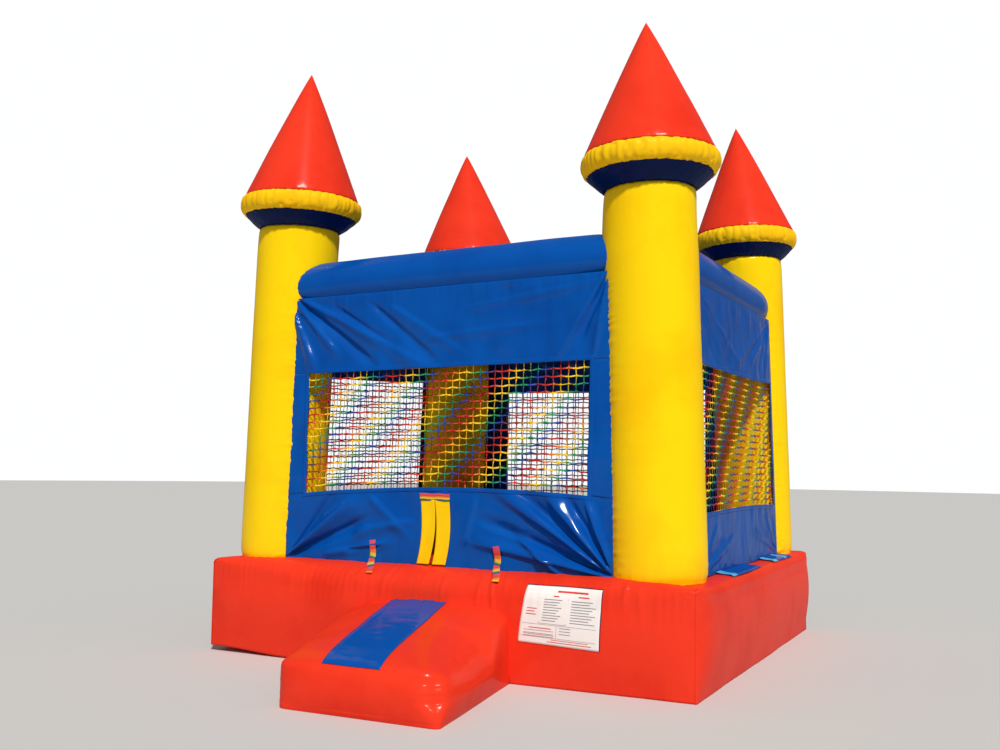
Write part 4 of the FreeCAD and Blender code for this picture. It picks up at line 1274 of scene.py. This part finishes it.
def tape_material():
    """Black polyester webbing on pieces with no UV map: a fine square weave, 4 mm coarse so that it shows."""
    mat, tree, shader = new_material("black_woven_tape", Roughness=0.7, Sheen_Weight=0.3)
    place = node(tree, "TexCoord").outputs["Object"]
    axes = node(tree, "SeparateXYZ", {"Vector": place})
    turns = 2 * math.pi / 0.004
    waves = [calc(tree, "SINE", calc(tree, "MULTIPLY", axes.outputs[i], turns)) for i in range(3)]
    weave = calc(tree, "MULTIPLY", calc(tree, "ADD", waves[0], waves[1]), waves[2])
    tone = node(tree, "MapRange", {"Value": weave, "From Min": -2.0, "From Max": 2.0})
    base = ramp(tree, tone.outputs["Result"], [(0.2, colour("141416")), (0.8, colour("2C2C30"))])
    tree.links.new(base, shader.inputs["Base Color"])
    bump = node(tree, "Bump", {"Strength": 0.5, "Distance": 0.0006, "Height": weave})
    tree.links.new(bump.outputs["Normal"], shader.inputs["Normal"])
    return mat


BLACK_WEBBING_CAD = tape_material()


# ---------------------------------------------------------------- studio
def studio():
    """A grey floor, a pale sky that the camera sees brighter than the house does, and a soft sun."""
    bm = bmesh.new()
    bmesh.ops.create_circle(bm, cap_ends=True, radius=60.0, segments=96)
    mat, tree, shader = new_material("studio_floor", Roughness=0.9)
    shader.inputs["Base Color"].default_value = colour("CFCFCF")
    floor = finished(bm, "studio_floor", mat)
    floor.location.z = -0.001

    world = bpy.data.worlds.new("studio")
    SCENE.world = world
    world.use_nodes = True
    tree = world.node_tree
    seen = node(tree, "LightPath").outputs["Is Camera Ray"]
    back = tree.nodes["Background"]
    back.inputs["Color"].default_value = (0.95, 0.97, 1.0, 1.0)
    strength = node(tree, "MapRange", {"Value": seen, "To Min": 0.24, "To Max": 1.05})
    tree.links.new(strength.outputs["Result"], back.inputs["Strength"])

    key = bpy.data.lights.new("key", "SUN")
    key.energy = 3.25
    key.angle = math.radians(4)
    key.color = (1.0, 0.97, 0.92)
    lamp = bpy.data.objects.new("key", key)
    lamp.rotation_mode = "QUATERNION"
    lamp.rotation_quaternion = Vector((0.5, -0.66, 0.85)).to_track_quat("Z", "Y")
    SCENE.collection.objects.link(lamp)


def camera():
    """Standing at the front right corner, eyes at 1.54 m, looking slightly up."""
    yaw, pitch, roll = math.radians(26.16), math.radians(4.403), math.radians(0.784)
    forward = Vector((-math.sin(yaw) * math.cos(pitch), math.cos(yaw) * math.cos(pitch), math.sin(pitch)))
    level = forward.cross(Vector((0, 0, 1))).normalized()
    above = level.cross(forward)
    right = level * math.cos(roll) + above * math.sin(roll)
    up = above * math.cos(roll) - level * math.sin(roll)
    data = bpy.data.cameras.new("camera")
    data.sensor_width = 36.0
    data.lens = 39.6
    data.clip_end = 200.0
    eye = bpy.data.objects.new("camera", data)
    turn = Matrix((right, up, -forward)).transposed().to_4x4()
    eye.matrix_world = Matrix.Translation((3.983, -8.809, 1.542)) @ turn
    SCENE.collection.objects.link(eye)
    SCENE.camera = eye


# ---------------------------------------------------------------- the house
SCENE.view_settings.view_transform = "Standard"
camera()
studio()
base = {side: base_side(side) for side in SIDES}
base_seams()
ground_cloth()
bounce_floor()
wedge = ramp_body()
ramp_tread(wedge, base["front"])
for corner, (way_x, way_y) in CORNERS.items():
    tower(corner, way_x, way_y)
for side_name in SIDES:
    beam(side_name)
front_wall = walls()
roof()
door_flap("left", DOOR_LEFT, DOOR_X - 0.0015)
door_flap("right", DOOR_RIGHT, DOOR_X + 0.0015)
entrance(tree_of(base["front"], front_wall))
rules_panel(base["front"])
hold_down_tabs()
blower_sleeve()
zip_teeth()
finish_frame_nodes()
